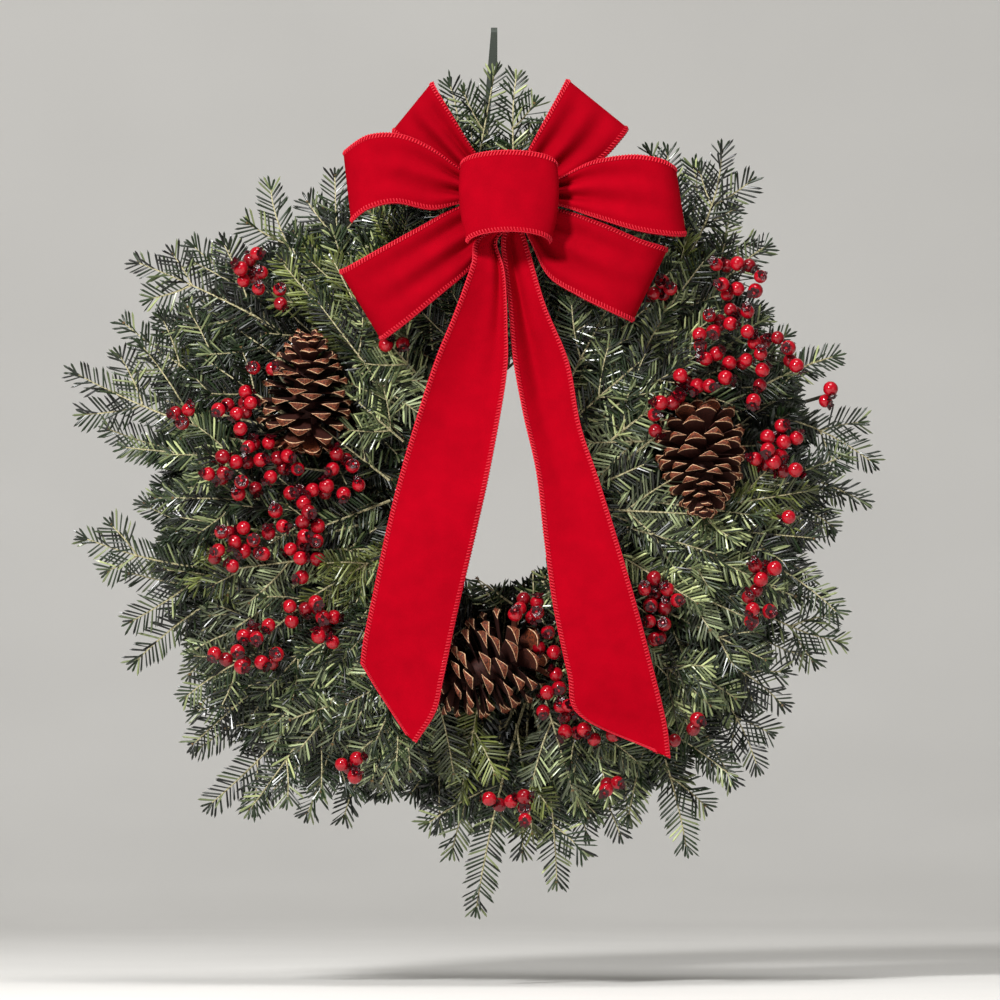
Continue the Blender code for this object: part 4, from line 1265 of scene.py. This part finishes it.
def make_pick(name, places, settings, materials, keep_out):
    """One pick: its berries, their stalks, and the stem back to the ring."""
    rng = np.random.default_rng(sum(map(ord, name)))
    shape = Shape()
    radius = settings.berry_diameter / MM / 2
    centres, hidden = [], []
    for place in places:
        centre = from_photo(place, BERRY_OUT + rng.uniform(-5, 5))
        for other in centres:
            flat = np.hypot(*(centre - other)[:2])
            apart = math.sqrt(max(0.0, (2 * radius + 0.3) ** 2 - flat**2))
            if abs(centre[2] - other[2]) < apart:
                centre[2] = other[2] - apart if centre[2] < other[2] else other[2] + apart
        centre[2] = np.clip(centre[2], *BERRY_OUT_RANGE)
        centres.append(centre)
    # A berry is hidden behind two that are close, where there is room for it.
    for centre, other in zip(centres, centres[1:]):
        behind = (centre + other) / 2 + rng.normal(0, 2.5, 3)
        behind[2] = min(centre[2], other[2]) - radius * 1.5
        near = min(np.linalg.norm(behind - placed) for placed in centres)
        close = np.hypot(*(centre - other)[:2]) < 30
        if close and near > 2 * radius and keep_out.clear([behind], radius + 1)[0]:
            hidden.append(behind)
    middle = np.mean(centres, axis=0)
    hub = np.array([middle[0], middle[1], HUB_OUT])
    bearing = math.degrees(math.atan2(hub[1], hub[0]))
    side = RAIL_OFFSET if math.hypot(hub[0], hub[1]) > RING_RADIUS else -RAIL_OFFSET
    foot = on_ring(bearing, RING_RADIUS + side, RAIL_TOP_OUT)
    low = np.array([hub[0], hub[1], STEM_BEND_OUT])
    stem = curve([foot, foot * 0.5 + low * 0.5, low + [0, 0, 8], hub], 4)
    shape.add(*tube(stem, STEM_RADIUS, 6), STEM_MATERIAL)
    for number, centre in enumerate(centres + hidden):
        away = unit(centre - hub + rng.normal(0, 5, 3))
        blossom = unit(away + rng.normal(0, 0.75, 3) + [0, 0, 0.2])
        tint = rng.choice([0.25, 0.6, 0.75, 0.9], p=[0.12, 0.2, 0.33, 0.35])
        # Hidden berries are painted dark: painted shade, for lying behind the others.
        if number >= len(centres):
            tint = 0.2
        add_berry(shape, centre, radius * rng.uniform(0.92, 1.06), blossom, rng, tint)
        stalk = bezier(hub, (hub + centre) / 2 + [0, 0, -6], centre - blossom * radius * 0.8, 5)
        shape.add(*tube(stalk, STALK_RADIUS, 4), STEM_MATERIAL)
    made = shape.make(f"berries_{name}_lacquered", materials)
    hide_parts(f"berries_{name}")


# A cone scale's blade: places along it, and its width and thickness there. Then how much of its
# upper side is as pale as its face, on the scales that are laid open.
SCALE_SIDES = 12
SCALE_BLADE = (
    (0.12, 0.62, 0.2), (0.38, 0.76, 0.22), (0.62, 0.9, 0.28), (0.8, 0.98, 0.46),
    (0.92, 1.0, 0.84), (0.965, 1.0, 1.0),
)
BLADE_SHOWN = (0, 0.2, 0.6, 1.0, 1.0, 1.0)
# Its shield, from the rim in: the same, and its tint, which is pale at the rim.
SCALE_SHIELD = (
    (0.96, 1.01, 1.04, 1.0), (0.98, 0.99, 0.98, 1.0), (0.995, 0.9, 0.8, 0.56),
    (1.01, 0.5, 0.42, 0.5), (1.015, 0.18, 0.22, 0.3),
)

# Along a cone from base to tip: how its scales lean in degrees, how far they reach as a share of
# its radius, their half width and shield height in mm on a cone of 36 mm radius, where they grow
# from as a share of its length, and how much of their upper side is pale.
CONE_LEAN = ((0, 0.08, 0.16, 0.3, 0.7, 1), (-74, -58, -34, -10, 20, 64))
CONE_REACH = ((0, 0.1, 0.2, 0.35, 0.6, 0.85, 1), (0.42, 0.7, 0.97, 1.02, 0.92, 0.68, 0.5))
CONE_HALF_WIDTH = ((0, 0.12, 0.4, 0.8, 1), (4.6, 8.2, 8.8, 7.2, 3.4))
CONE_HEIGHT = ((0, 0.14, 0.24, 0.5, 1), (1.4, 2.4, 4.8, 5.2, 3.2))
CONE_ROOT = ((0, 0.16, 1), (-0.32, -0.28, 0.38))
CONE_OPEN_FACE = ((0, 0.16, 0.24), (0.5, 0.5, 0.0))
CONE_TABLE_RADIUS = 36
# Its core: places along it, as shares of its length, and its radius, as a share of the cone's.
CONE_CORE = (-0.45, -0.36, -0.05, 0.3, 0.46)
CONE_CORE_RADIUS = (0.1, 0.26, 0.3, 0.2, 0.05)
# Each scale grows this far round from the last.
GOLDEN_ANGLE = 137.508


def add_scale(shape, root, outward, axis, reach, half_width, height, open_face):
    """A woody scale: a dark blade that thickens to a rhombic shield with a pale outline."""
    across = unit(np.cross(axis, outward))
    upward = np.cross(outward, across)
    turns = np.radians(np.arange(SCALE_SIDES) * 360 / SCALE_SIDES)
    wide = np.sign(np.cos(turns)) * np.abs(np.cos(turns)) ** 1.45
    # The shield is flat above and runs to a point below, on the cone's base side.
    above, below = 0.24 * np.sin(turns), -0.76 * np.abs(np.sin(turns)) ** 3
    tall = np.where(np.sin(turns) > 0, above, below)

    def loop(along, width, thick):
        x = wide * half_width * width
        z = tall * height * thick + 0.5 * wide**2 * width
        # The blade's end is rounded off towards its corners.
        corner = 1.3 * half_width * np.abs(wide) ** 2.2 * width * max(0.0, along - 0.5)
        y = reach * along - corner
        return root + np.outer(x, across) + np.outer(y, outward) + np.outer(z, upward)

    body = [loop(*row) for row in SCALE_BLADE]
    shown = [np.where(tall > 0.05, open_face * share, 0.0) for share in BLADE_SHOWN]
    shape.add(np.concatenate(body), ring_faces(len(body), SCALE_SIDES), 0, np.concatenate(shown))
    shield = [loop(*row[:3]) for row in SCALE_SHIELD]
    tints = np.repeat([row[3] for row in SCALE_SHIELD], SCALE_SIDES)
    shape.add(np.concatenate(shield), ring_faces(len(shield), SCALE_SIDES), 0, tints)
    point = root + outward * (reach * 1.02 + 1.0) - upward * height * 0.25
    closing = [(k, (k + 1) % SCALE_SIDES, SCALE_SIDES) for k in range(SCALE_SIDES)]
    tints = np.append(np.full(SCALE_SIDES, 0.3), 0.8)
    shape.add(np.concatenate([shield[-1], [point]]), closing, 0, tints)


def make_cone(name, middle, tip_way, length, radius, settings, material):
    """An open pine cone: scales on the golden angle, reflexed at its base, closing at its tip."""
    rng = np.random.default_rng(len(name))
    shape = Shape()
    axis = unit(np.array(tip_way, float))
    side, other, _ = frame_of(axis)
    middle = np.array(middle, float)
    core = [middle + axis * length * share for share in CONE_CORE]
    shape.add(*tube(np.array(core), np.array(CONE_CORE_RADIUS) * radius, 12), 0, 0.0)
    count = settings.scale_count
    for index in range(count):
        share = (index + 0.5) / count
        turn = math.radians(GOLDEN_ANGLE * index + rng.normal(0, 3))
        radial = side * math.cos(turn) + other * math.sin(turn)
        lean = math.radians(np.interp(share, *CONE_LEAN) + rng.normal(0, 4.5))
        outward = unit(radial * math.cos(lean) + axis * math.sin(lean))
        reach = radius * np.interp(share, *CONE_REACH)
        half_width = np.interp(share, *CONE_HALF_WIDTH) * radius / CONE_TABLE_RADIUS
        height = np.interp(share, *CONE_HEIGHT) * radius / CONE_TABLE_RADIUS
        height *= rng.uniform(0.75, 1.15)
        half_width *= rng.uniform(0.9, 1.1)
        root = middle + axis * length * np.interp(share, *CONE_ROOT)
        open_face = float(np.interp(share, *CONE_OPEN_FACE))
        size = reach * rng.uniform(0.97, 1.03)
        add_scale(shape, root, outward, axis, size, half_width, height, open_face)
    made = shape.make(f"cone_{name}_scales", [material])
    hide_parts(f"cone_{name}")


def fold_over(rows, creases, fullness, most, closed=False, steps=6, columns=27):
    """A smooth ribbon through rows of two edge points. Where the edges lie closer than the ribbon
    is wide, creases take up this share of its width, as deep as most."""
    edges = curve(np.asarray(rows, float), steps, closed)
    at = np.linspace(0, len(rows) - 1, len(edges))
    most = np.interp(at, np.arange(len(rows)), np.broadcast_to(most, len(rows)))
    wide = np.linalg.norm(edges[:, 1] - edges[:, 0], axis=1)
    missing = np.maximum(0.0, RIBBON_WIDTH * fullness / wide - 1)
    amount = np.minimum(wide / (math.pi * creases) * np.sqrt(missing) * 1.25, most)
    side = np.linspace(0, 1, columns)[None, :]
    grid = edges[:, :1] * (1 - side[..., None]) + edges[:, 1:] * side[..., None]
    wave = np.sin(2 * math.pi * creases * side + 0.6) * np.sin(math.pi * side) ** 0.35
    grid[..., 2] += amount[:, None] * wave
    return grid


def ribbon_piece(name, grid, settings, materials, closed=False, painted_shade=1.0):
    """A ribbon's velvet and its stitched edges. Painted shade is how dark its velvet is painted."""
    shape = Shape()
    normals = add_sheet(shape, grid, RIBBON_THICKNESS, closed, painted_shade)
    velvet = shape.make(name + "_velvet", [materials[0]])
    stitches = Shape()
    spacing = settings.stitch_spacing / MM
    for column, near in ((0, 1), (-1, -2)):
        edge = grid[:, column]
        inward = unit(grid[:, near] - edge)
        add_stitches(stitches, edge, inward, normals[:, column], spacing, closed)
    thread = stitches.make(name + "_velvet_edges", [materials[1]])
    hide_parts(name)


class FoliageSettings(bpy.types.PropertyGroup):
    needle_length: bpy.props.FloatProperty(
        name="Needle length", description="Length of a full-grown needle", default=0.0172,
        unit="LENGTH", subtype="DISTANCE",
    )
    needle_width: bpy.props.FloatProperty(
        name="Needle width", description="Width of a needle at its widest", default=0.0018,
        unit="LENGTH", subtype="DISTANCE",
    )
    needle_pitch: bpy.props.FloatProperty(
        name="Needle spacing", description="Distance between needles on one side of a twig",
        default=0.0029, unit="LENGTH", subtype="DISTANCE",
    )
    # Painted shade: the colour that needles deep in the foliage are painted.
    shade_colour: bpy.props.FloatVectorProperty(
        name="Shaded needle", description="Colour of old needles deep inside",
        default=linear("#090c06"), subtype="COLOR",
    )
    green_colour: bpy.props.FloatVectorProperty(
        name="Needle", description="Colour of a needle's upper side",
        default=linear("#233618"), subtype="COLOR",
    )
    # Pale wax and a painted glint: the pale needles stand in for the light's glints on them too.
    bloom_colour: bpy.props.FloatVectorProperty(
        name="Wax bloom", description="Colour of a needle under pale wax",
        default=linear("#cfda98"), subtype="COLOR",
    )
    young_colour: bpy.props.FloatVectorProperty(
        name="Young needle", description="Colour of a young shoot's needles",
        default=linear("#76803a"), subtype="COLOR",
    )
    under_colour: bpy.props.FloatVectorProperty(
        name="Underside", description="Colour of a needle's wax bands below",
        default=linear("#cad8a4"), subtype="COLOR",
    )
    twig_colour: bpy.props.FloatVectorProperty(
        name="Twig", description="Colour of this year's bark",
        default=linear("#cbc298"), subtype="COLOR",
    )


class BerrySettings(bpy.types.PropertyGroup):
    berry_diameter: bpy.props.FloatProperty(
        name="Berry diameter", description="Diameter of a berry", default=0.0113,
        unit="LENGTH", subtype="DISTANCE",
    )
    berry_colour: bpy.props.FloatVectorProperty(
        name="Berry", description="Colour under the lacquer",
        default=linear("#ae051b"), subtype="COLOR",
    )


class ConeSettings(bpy.types.PropertyGroup):
    scale_count: bpy.props.IntProperty(
        name="Scales", description="Scales on each cone", default=100, min=20,
    )
    wood_colour: bpy.props.FloatVectorProperty(
        name="Wood", description="Colour of a scale's faces",
        default=linear("#4a2017"), subtype="COLOR",
    )
    rim_colour: bpy.props.FloatVectorProperty(
        name="Rim", description="Colour of a scale's worn rim",
        default=linear("#f0caa2"), subtype="COLOR",
    )


class BowSettings(bpy.types.PropertyGroup):
    ribbon_width: bpy.props.FloatProperty(
        name="Ribbon width", description="Width of the ribbon laid flat", default=0.0635,
        unit="LENGTH", subtype="DISTANCE",
    )
    stitch_spacing: bpy.props.FloatProperty(
        name="Stitch spacing", description="Distance between overlock stitches", default=0.0024,
        unit="LENGTH", subtype="DISTANCE",
    )
    velvet_colour: bpy.props.FloatVectorProperty(
        name="Velvet", description="Colour of the pile",
        default=linear("#a20014"), subtype="COLOR",
    )
    thread_colour: bpy.props.FloatVectorProperty(
        name="Thread", description="Colour of the edge thread",
        default=linear("#d01c30"), subtype="COLOR",
    )


class WREATH_OT_frame(bpy.types.Operator):
    """Make the clamp ring and finish the hanger and wires"""

    bl_idname = "wreath.frame"
    bl_label = "Ring, hanger and wires"

    def execute(self, context):
        enamel = enamel_material("green enamelled wire", "#24402c", 0.4)
        paint = enamel_material("satin painted steel", "#3a4038", 0.42, 0.3)
        ring = Shape()
        turns = np.arange(96) * 360 / 96
        for offset in (RAIL_OFFSET, -RAIL_OFFSET):
            path = [on_ring(turn, RING_RADIUS + offset, RING_OUT) for turn in turns]
            ring.add(*tube(np.array(path), RAIL_RADIUS, 8, closed=True))
        for index in range(BUNCHES):
            bearing = FIRST_BUNCH_DEGREES + 2 * HALF_BUNCH * index
            angles = np.radians(np.linspace(0, 180, 13))
            path = [on_ring(bearing, RING_RADIUS + RAIL_OFFSET, RING_OUT)]
            for angle in angles:
                radius = RING_RADIUS + PRONG_RADIUS * math.cos(angle)
                path.append(on_ring(bearing, radius, BUTT_OUT + PRONG_RADIUS * math.sin(angle)))
            path.append(on_ring(bearing, RING_RADIUS - RAIL_OFFSET, RING_OUT))
            ring.add(*tube(np.array(path), PRONG_WIRE_RADIUS, 6))
        made = ring.make("ring_frame_wire", [enamel])
        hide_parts("ring_frame")
        for name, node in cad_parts.items():
            if name.startswith("cone_wire"):
                node.data.materials.clear()
                node.data.materials.append(enamel)
        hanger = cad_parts["door_hanger"]
        hanger.data.materials.clear()
        hanger.data.materials.append(paint)
        edge = hanger.modifiers.new("eased edges", "BEVEL")
        edge.width = 0.3 * MM
        edge.segments = 2
        return {"FINISHED"}


# How deep the side loops' creases are from the tie out to the fold. The front is smooth past its
# gathers, and the back is creased further out.
FRONT_CREASES = (2.0, 3.4, 4.2, 2.2, 1.2, 0.0)
BACK_CREASES = (2.0, 3.4, 5.8, 6.0, 5.5, 0.0)
# How light each pair of loops, the centre loop and the tails are painted: painted shade for how the
# light falls on each.
LOOP_PAINTED_SHADE = {"upper": 0.81, "middle": 0.89, "lower": 0.83}
CENTRE_PAINTED_SHADE, TAIL_PAINTED_SHADE = 0.92, 1.0

# The centre loop: how far its middle is left of and below the knot, half its width and how much
# less that is at its top and foot, half its height and how much the gathers take of it, how far
# its front and back rise, how far out it starts, how deep it is, and how much its middle swells.
CENTRE_LEFT, CENTRE_DOWN = 1.5, 5.5
CENTRE_HALF_WIDTH, CENTRE_TOP_LESS, CENTRE_FOOT_LESS = 39.0, 3.0, 7.5
CENTRE_HALF_HEIGHT, CENTRE_GATHERED, CENTRE_RISE = 30.7, 8.0, 9.0
CENTRE_OUT, CENTRE_DEPTH, CENTRE_SWELL = 8.3, 30.0, 0.11

# How deep the tails' creases are, row by row. Then their fold under the centre loop: how deep it
# is row by row, and where it lies across the ribbon and how wide it is, on each tail.
TAIL_CREASES = (0.0, 0.2, 0.5, 0.8, 0.8, 0.8, 0.6, 0.5, 0.3, 0.2, 0.0)
TAIL_FOLD = ((0, 1, 2, 3, 4, 5.5), (2.0, 7.0, 9.0, 7.5, 3.0, 0.0))
TAIL_FOLD_ACROSS = {"left": (0.86, 0.15), "right": (0.34, 0.17)}

# The tie: the radius of its wire's coils, their number, half their height, and their core. Then
# the twisted wire: its bearing on the ring, where it bends, and its two strands.
TIE_RADIUS, TIE_TURNS, TIE_HALF_HEIGHT, TIE_CORE_RADIUS = 6.4, 9, 21, 6.0
TIE_WIRE_BEARING, TIE_WIRE_BEND = 89.0, (6.0, 190.0, 100.0)
STRAND_OFFSET, STRAND_RADIUS, STRAND_TWIST = 0.55, 0.5, 40


class WREATH_OT_bow(bpy.types.Operator):
    """Make the velvet bow: its tie, centre loop, side loops and tails"""

    bl_idname = "wreath.bow"
    bl_label = "Velvet bow"

    def execute(self, context):
        settings = context.scene.wreath_bow
        materials = [velvet_material(settings), thread_material(settings)]
        self.tie()
        self.centre_loop(settings, materials)
        for name, stations in SIDE_LOOPS.items():
            self.side_loop(name, stations, settings, materials)
        for name, outline in TAILS.items():
            self.tail(name, outline, settings, materials)
        return {"FINISHED"}

    def tie(self):
        """The bound middle, and the twisted wire that holds it to the ring."""
        tie = Shape()
        steps = 170
        turns = np.linspace(0, TIE_TURNS * 2 * math.pi, steps)
        right = KNOT[0] + TIE_RADIUS * np.cos(turns)
        up = KNOT[1] + np.linspace(-TIE_HALF_HEIGHT, TIE_HALF_HEIGHT, steps)
        out = KNOT[2] + TIE_RADIUS * np.sin(turns)
        tie.add(*tube(np.stack([right, up, out], axis=1), 1.0, 6))
        half = np.array([0, TIE_HALF_HEIGHT + 0.5, 0])
        tie.add(*tube(np.array([KNOT - half, KNOT + half]), TIE_CORE_RADIUS, 16))
        foot = on_ring(TIE_WIRE_BEARING, RING_RADIUS + RAIL_OFFSET, RAIL_TOP_OUT)
        wire = bezier(foot, np.array(TIE_WIRE_BEND), KNOT - [0, 2, 6], 12)
        twist = np.linspace(0, STRAND_TWIST, len(wire))
        for phase in (0, math.pi):
            turned = [np.cos(twist + phase), np.sin(twist + phase), 0 * twist]
            tie.add(*tube(wire + np.stack(turned, axis=1) * STRAND_OFFSET, STRAND_RADIUS, 5))
        tied = tie.make("bow_tie_wire", [enamel_material("red florist's wire", "#7a1018", 0.4)])
        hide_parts("bow_tie")

    def centre_loop(self, settings, materials):
        """The front is a barrel that narrows downwards, and the back is gathered to the tie."""
        middle = KNOT[0] - CENTRE_LEFT
        steps = 28
        rows = []
        for step in range(steps):
            angle = 2 * math.pi * step / steps
            front = math.sin(angle)
            pinch = max(0.0, -front) ** 0.7
            row = []
            for side in (1, -1):
                half = CENTRE_HALF_WIDTH - (CENTRE_TOP_LESS if side > 0 else CENTRE_FOOT_LESS)
                edge = side * (CENTRE_HALF_HEIGHT - CENTRE_GATHERED * pinch)
                high = KNOT[1] - CENTRE_DOWN + CENTRE_RISE * abs(front) + edge
                bulge = 0.5 + 0.5 * math.copysign(abs(front) ** 0.85, front)
                out = KNOT[2] + CENTRE_OUT + CENTRE_DEPTH * bulge
                row.append([middle + half * math.cos(angle), high, out])
            rows.append(row)
        grid = fold_over(rows, 2.5, 0.9, 0.0, closed=True, steps=4)
        side = np.linspace(-1, 1, grid.shape[1])
        swell = 1 + CENTRE_SWELL * (1 - side**2)
        grid[..., 0] = middle + (grid[..., 0] - KNOT[0] + CENTRE_LEFT) * swell
        ribbon_piece("bow_centre_loop", grid, settings, materials, closed=True, painted_shade=CENTRE_PAINTED_SHADE)

    def side_loop(self, name, stations, settings, materials):
        """A loop runs out along its front, over its fold and back behind."""
        rows = []
        for upper, lower, front, _ in stations:
            rows.append([KNOT + [*upper, front], KNOT + [*lower, front]])
        for upper, lower, _, back in reversed(stations[:-1]):
            rows.append([KNOT + [*upper, back], KNOT + [*lower, back]])
        at = np.arange(len(stations))
        front = np.interp(at, range(len(FRONT_CREASES)), FRONT_CREASES)
        back = np.interp(at, range(len(BACK_CREASES)), BACK_CREASES)
        grid = fold_over(rows, 2.5, 1.0, [*front, *back[-2::-1]])
        painted_shade = LOOP_PAINTED_SHADE[name.split("_")[0]]
        ribbon_piece(f"bow_loop_{name}", grid, settings, materials, painted_shade=painted_shade)

    def tail(self, name, outline, settings, materials):
        """A tail is folded back on itself under the centre loop, and the fold opens lower down."""
        rows = [[[*left, out], [*right, out]] for left, right, _, out in outline]
        grid = fold_over(rows, 1.0, 0.9, TAIL_CREASES, steps=8)
        high, wide = grid.shape[:2]
        places = np.linspace(0, len(outline) - 1, high)
        deep = np.interp(places, *TAIL_FOLD)
        middle, narrow = TAIL_FOLD_ACROSS[name]
        across = (np.linspace(0, 1, wide) - middle) / narrow
        grid[..., 2] -= deep[:, None] * np.exp(-(across**2))
        cup = np.interp(places, range(len(outline)), [row[2] for row in outline])
        grid[..., 2] -= cup[:, None] * (1 - np.linspace(-1, 1, wide) ** 2)
        ribbon_piece(f"bow_tail_{name}", grid, settings, materials, painted_shade=TAIL_PAINTED_SHADE)


class WREATH_OT_cones(bpy.types.Operator):
    """Make the three open pine cones"""

    bl_idname = "wreath.cones"
    bl_label = "Pine cones"

    def execute(self, context):
        settings = context.scene.wreath_cones
        material = cone_material(settings)
        for name, facts in CONES.items():
            make_cone(name, *facts, settings, material)
        return {"FINISHED"}


class WREATH_OT_berries(bpy.types.Operator):
    """Make the berry picks"""

    bl_idname = "wreath.berries"
    bl_label = "Berry picks"

    def execute(self, context):
        settings = context.scene.wreath_berries
        stem = enamel_material("wrapped stem plastic", "#33301e", 0.6)
        materials = [berry_material(settings), calyx_material(), stem]
        keep_out = KeepOut()
        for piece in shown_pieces():
            if piece.name.endswith(("_velvet", "_scales")):
                keep_out.add(piece)
        for name, places in BERRIES.items():
            make_pick(name, places, settings, materials, keep_out)
        return {"FINISHED"}


class WREATH_OT_foliage(bpy.types.Operator):
    """Make the twelve bunches of fir, clear of everything made before them"""

    bl_idname = "wreath.foliage"
    bl_label = "Fir bunches"

    def execute(self, context):
        settings = context.scene.wreath_foliage
        shade, green, bloom, young, under = [
            list(colour) for colour in (
                settings.shade_colour, settings.green_colour, settings.bloom_colour,
                settings.young_colour, settings.under_colour,
            )
        ]
        # The upper side runs from painted shade through green to pale wax under a painted glint,
        # then young needles; the underside from painted shade to its wax bands.
        upper = [
            (0.0, shade), (0.2, green), (0.38, blend(green, bloom, 0.4)), (0.5, bloom),
            (0.6, blend(shade, young, 0.2)), (0.85, young), (1.0, blend(young, bloom, 0.6)),
        ]
        lower = [(0.0, shade), (0.2, blend(shade, under, 0.3)), (0.4, under), (1.0, under)]
        materials = [
            needle_material("waxy fir needle, upper side", upper, 0.4),
            needle_material("waxy fir needle, underside", lower, 0.5),
            twig_material(settings),
            bud_material(),
        ]
        keep_out = KeepOut()
        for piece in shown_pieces():
            if piece.name.endswith(("_velvet", "_scales", "_lacquered", "door_hanger")):
                keep_out.add(piece)
        for index in range(BUNCHES):
            grow_bunch(index, settings, keep_out, materials)
        return {"FINISHED"}


# The stage, in metres: how far its floor lies under the wreath, how far it runs to the front, to
# the backdrop's curve and to either side, the curve's radius and the backdrop's height.
FLOOR_BELOW, FLOOR_FRONT, FLOOR_BACK, FLOOR_SIDE = 0.05, -14.0, 1.6, 12.0
CURVE_RADIUS, BACKDROP_HEIGHT = 1.5, 9.0
# Each lamp: where it stands from the wreath's middle, how wide it is, and its watts.
LAMPS = (
    ("key", (-1.2, -2.3, 1.6), 0.42, 110.0),
    ("fill", (2.0, -2.4, 0.2), 1.6, 8.0),
    ("top", (0.2, -0.7, 2.2), 0.9, 30.0),
)
ROOM_LIGHT = 0.17
# The camera stands 12 m off, where a pixel of the photograph's frame covers PIXEL millimetres.
CAMERA_DISTANCE, SENSOR_WIDTH, FRAME_PIXELS = 12.0, 36.0, 1000


class WREATH_OT_stage(bpy.types.Operator):
    """Make the floor, the lights and the camera"""

    bl_idname = "wreath.stage"
    bl_label = "Stage"

    def execute(self, context):
        self.floor(context)
        self.lights(context)
        self.camera(context)
        return {"FINISHED"}

    def floor(self, context):
        """A floor that curves up into a backdrop."""
        floor_z = CAD_BOX[0].z - FLOOR_BELOW
        profile = [(FLOOR_FRONT, 0.0), (FLOOR_BACK, 0.0)]
        for angle in np.linspace(0.1, math.pi / 2, 12):
            rise = CURVE_RADIUS - CURVE_RADIUS * math.cos(angle)
            profile.append((FLOOR_BACK + CURVE_RADIUS * math.sin(angle), rise))
        profile.append((FLOOR_BACK + CURVE_RADIUS, BACKDROP_HEIGHT))
        points = []
        for y, z in profile:
            points += [(-FLOOR_SIDE, y, floor_z + z), (FLOOR_SIDE, y, floor_z + z)]
        faces = [(2 * k, 2 * k + 1, 2 * k + 3, 2 * k + 2) for k in range(len(profile) - 1)]
        mesh = bpy.data.meshes.new("pale_floor")
        mesh.from_pydata(points, [], faces)
        mesh.polygons.foreach_set("use_smooth", [True] * len(faces))
        mesh.materials.append(plaster_material())
        floor = bpy.data.objects.new("pale_floor", mesh)
        context.scene.collection.objects.link(floor)
        floor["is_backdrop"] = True

    def lights(self, context):
        """A small key lamp from the upper left, two soft lamps, and a soft room."""
        middle = np.array([RING_X, -0.1, RING_Z])
        for name, place, size, power in LAMPS:
            light = bpy.data.lights.new(name, "AREA")
            light.size = size
            light.energy = power
            lamp = bpy.data.objects.new(name, light)
            lamp.location = middle + np.array(place)
            way = Vector(middle - np.array(lamp.location))
            lamp.rotation_euler = way.to_track_quat("-Z", "Y").to_euler()
            context.scene.collection.objects.link(lamp)
            lamp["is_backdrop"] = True
        world = bpy.data.worlds.new("soft room light")
        world.use_nodes = True
        background = world.node_tree.nodes["Background"]
        background.inputs["Color"].default_value = (*linear("#f3f2ee"), 1.0)
        background.inputs["Strength"].default_value = ROOM_LIGHT
        context.scene.world = world
        context.scene.view_settings.view_transform = "Standard"

    def camera(self, context):
        """The camera looks straight at the wreath, as the photograph does."""
        centre = to_world([from_photo((500, 500), 90.0)])[0]
        camera = bpy.data.cameras.new("camera")
        camera.sensor_width = SENSOR_WIDTH
        camera.lens = SENSOR_WIDTH * CAMERA_DISTANCE / (FRAME_PIXELS * PIXEL * MM)
        camera.clip_end = 60.0
        made = bpy.data.objects.new("camera", camera)
        made.location = (centre[0], centre[1] - CAMERA_DISTANCE, centre[2])
        made.rotation_euler = (math.pi / 2, 0.0, 0.0)
        context.scene.collection.objects.link(made)
        context.scene.camera = made


class WREATH_PT_panel(bpy.types.Panel):
    """The wreath's settings and the buttons that make its pieces"""

    bl_idname = "WREATH_PT_panel"
    bl_label = "Wreath"
    bl_space_type = "VIEW_3D"
    bl_region_type = "UI"
    bl_category = "Wreath"

    def draw(self, context):
        for operator, group in STEPS:
            self.layout.operator(operator)
            if group:
                box = self.layout.box()
                values = getattr(context.scene, group)
                for name in values.bl_rna.properties.keys():
                    if name not in ("rna_type", "name"):
                        box.prop(values, name)


STEPS = (
    ("wreath.frame", None),
    ("wreath.bow", "wreath_bow"),
    ("wreath.cones", "wreath_cones"),
    ("wreath.berries", "wreath_berries"),
    ("wreath.foliage", "wreath_foliage"),
    ("wreath.stage", None),
)
GROUPS = {
    "wreath_foliage": FoliageSettings,
    "wreath_berries": BerrySettings,
    "wreath_cones": ConeSettings,
    "wreath_bow": BowSettings,
}
CLASSES = (
    *GROUPS.values(),
    WREATH_OT_frame,
    WREATH_OT_bow,
    WREATH_OT_cones,
    WREATH_OT_berries,
    WREATH_OT_foliage,
    WREATH_OT_stage,
    WREATH_PT_panel,
)


def register():
    for found in CLASSES:
        bpy.utils.register_class(found)
    for name, group in GROUPS.items():
        setattr(bpy.types.Scene, name, bpy.props.PointerProperty(type=group))


def unregister():
    for name in GROUPS:
        delattr(bpy.types.Scene, name)
    for found in reversed(CLASSES):
        bpy.utils.unregister_class(found)


def main():
    register()
    for operator, _ in STEPS:
        group, name = operator.split(".")
        getattr(getattr(bpy.ops, group), name)()


if __name__ == "__main__":
    main()
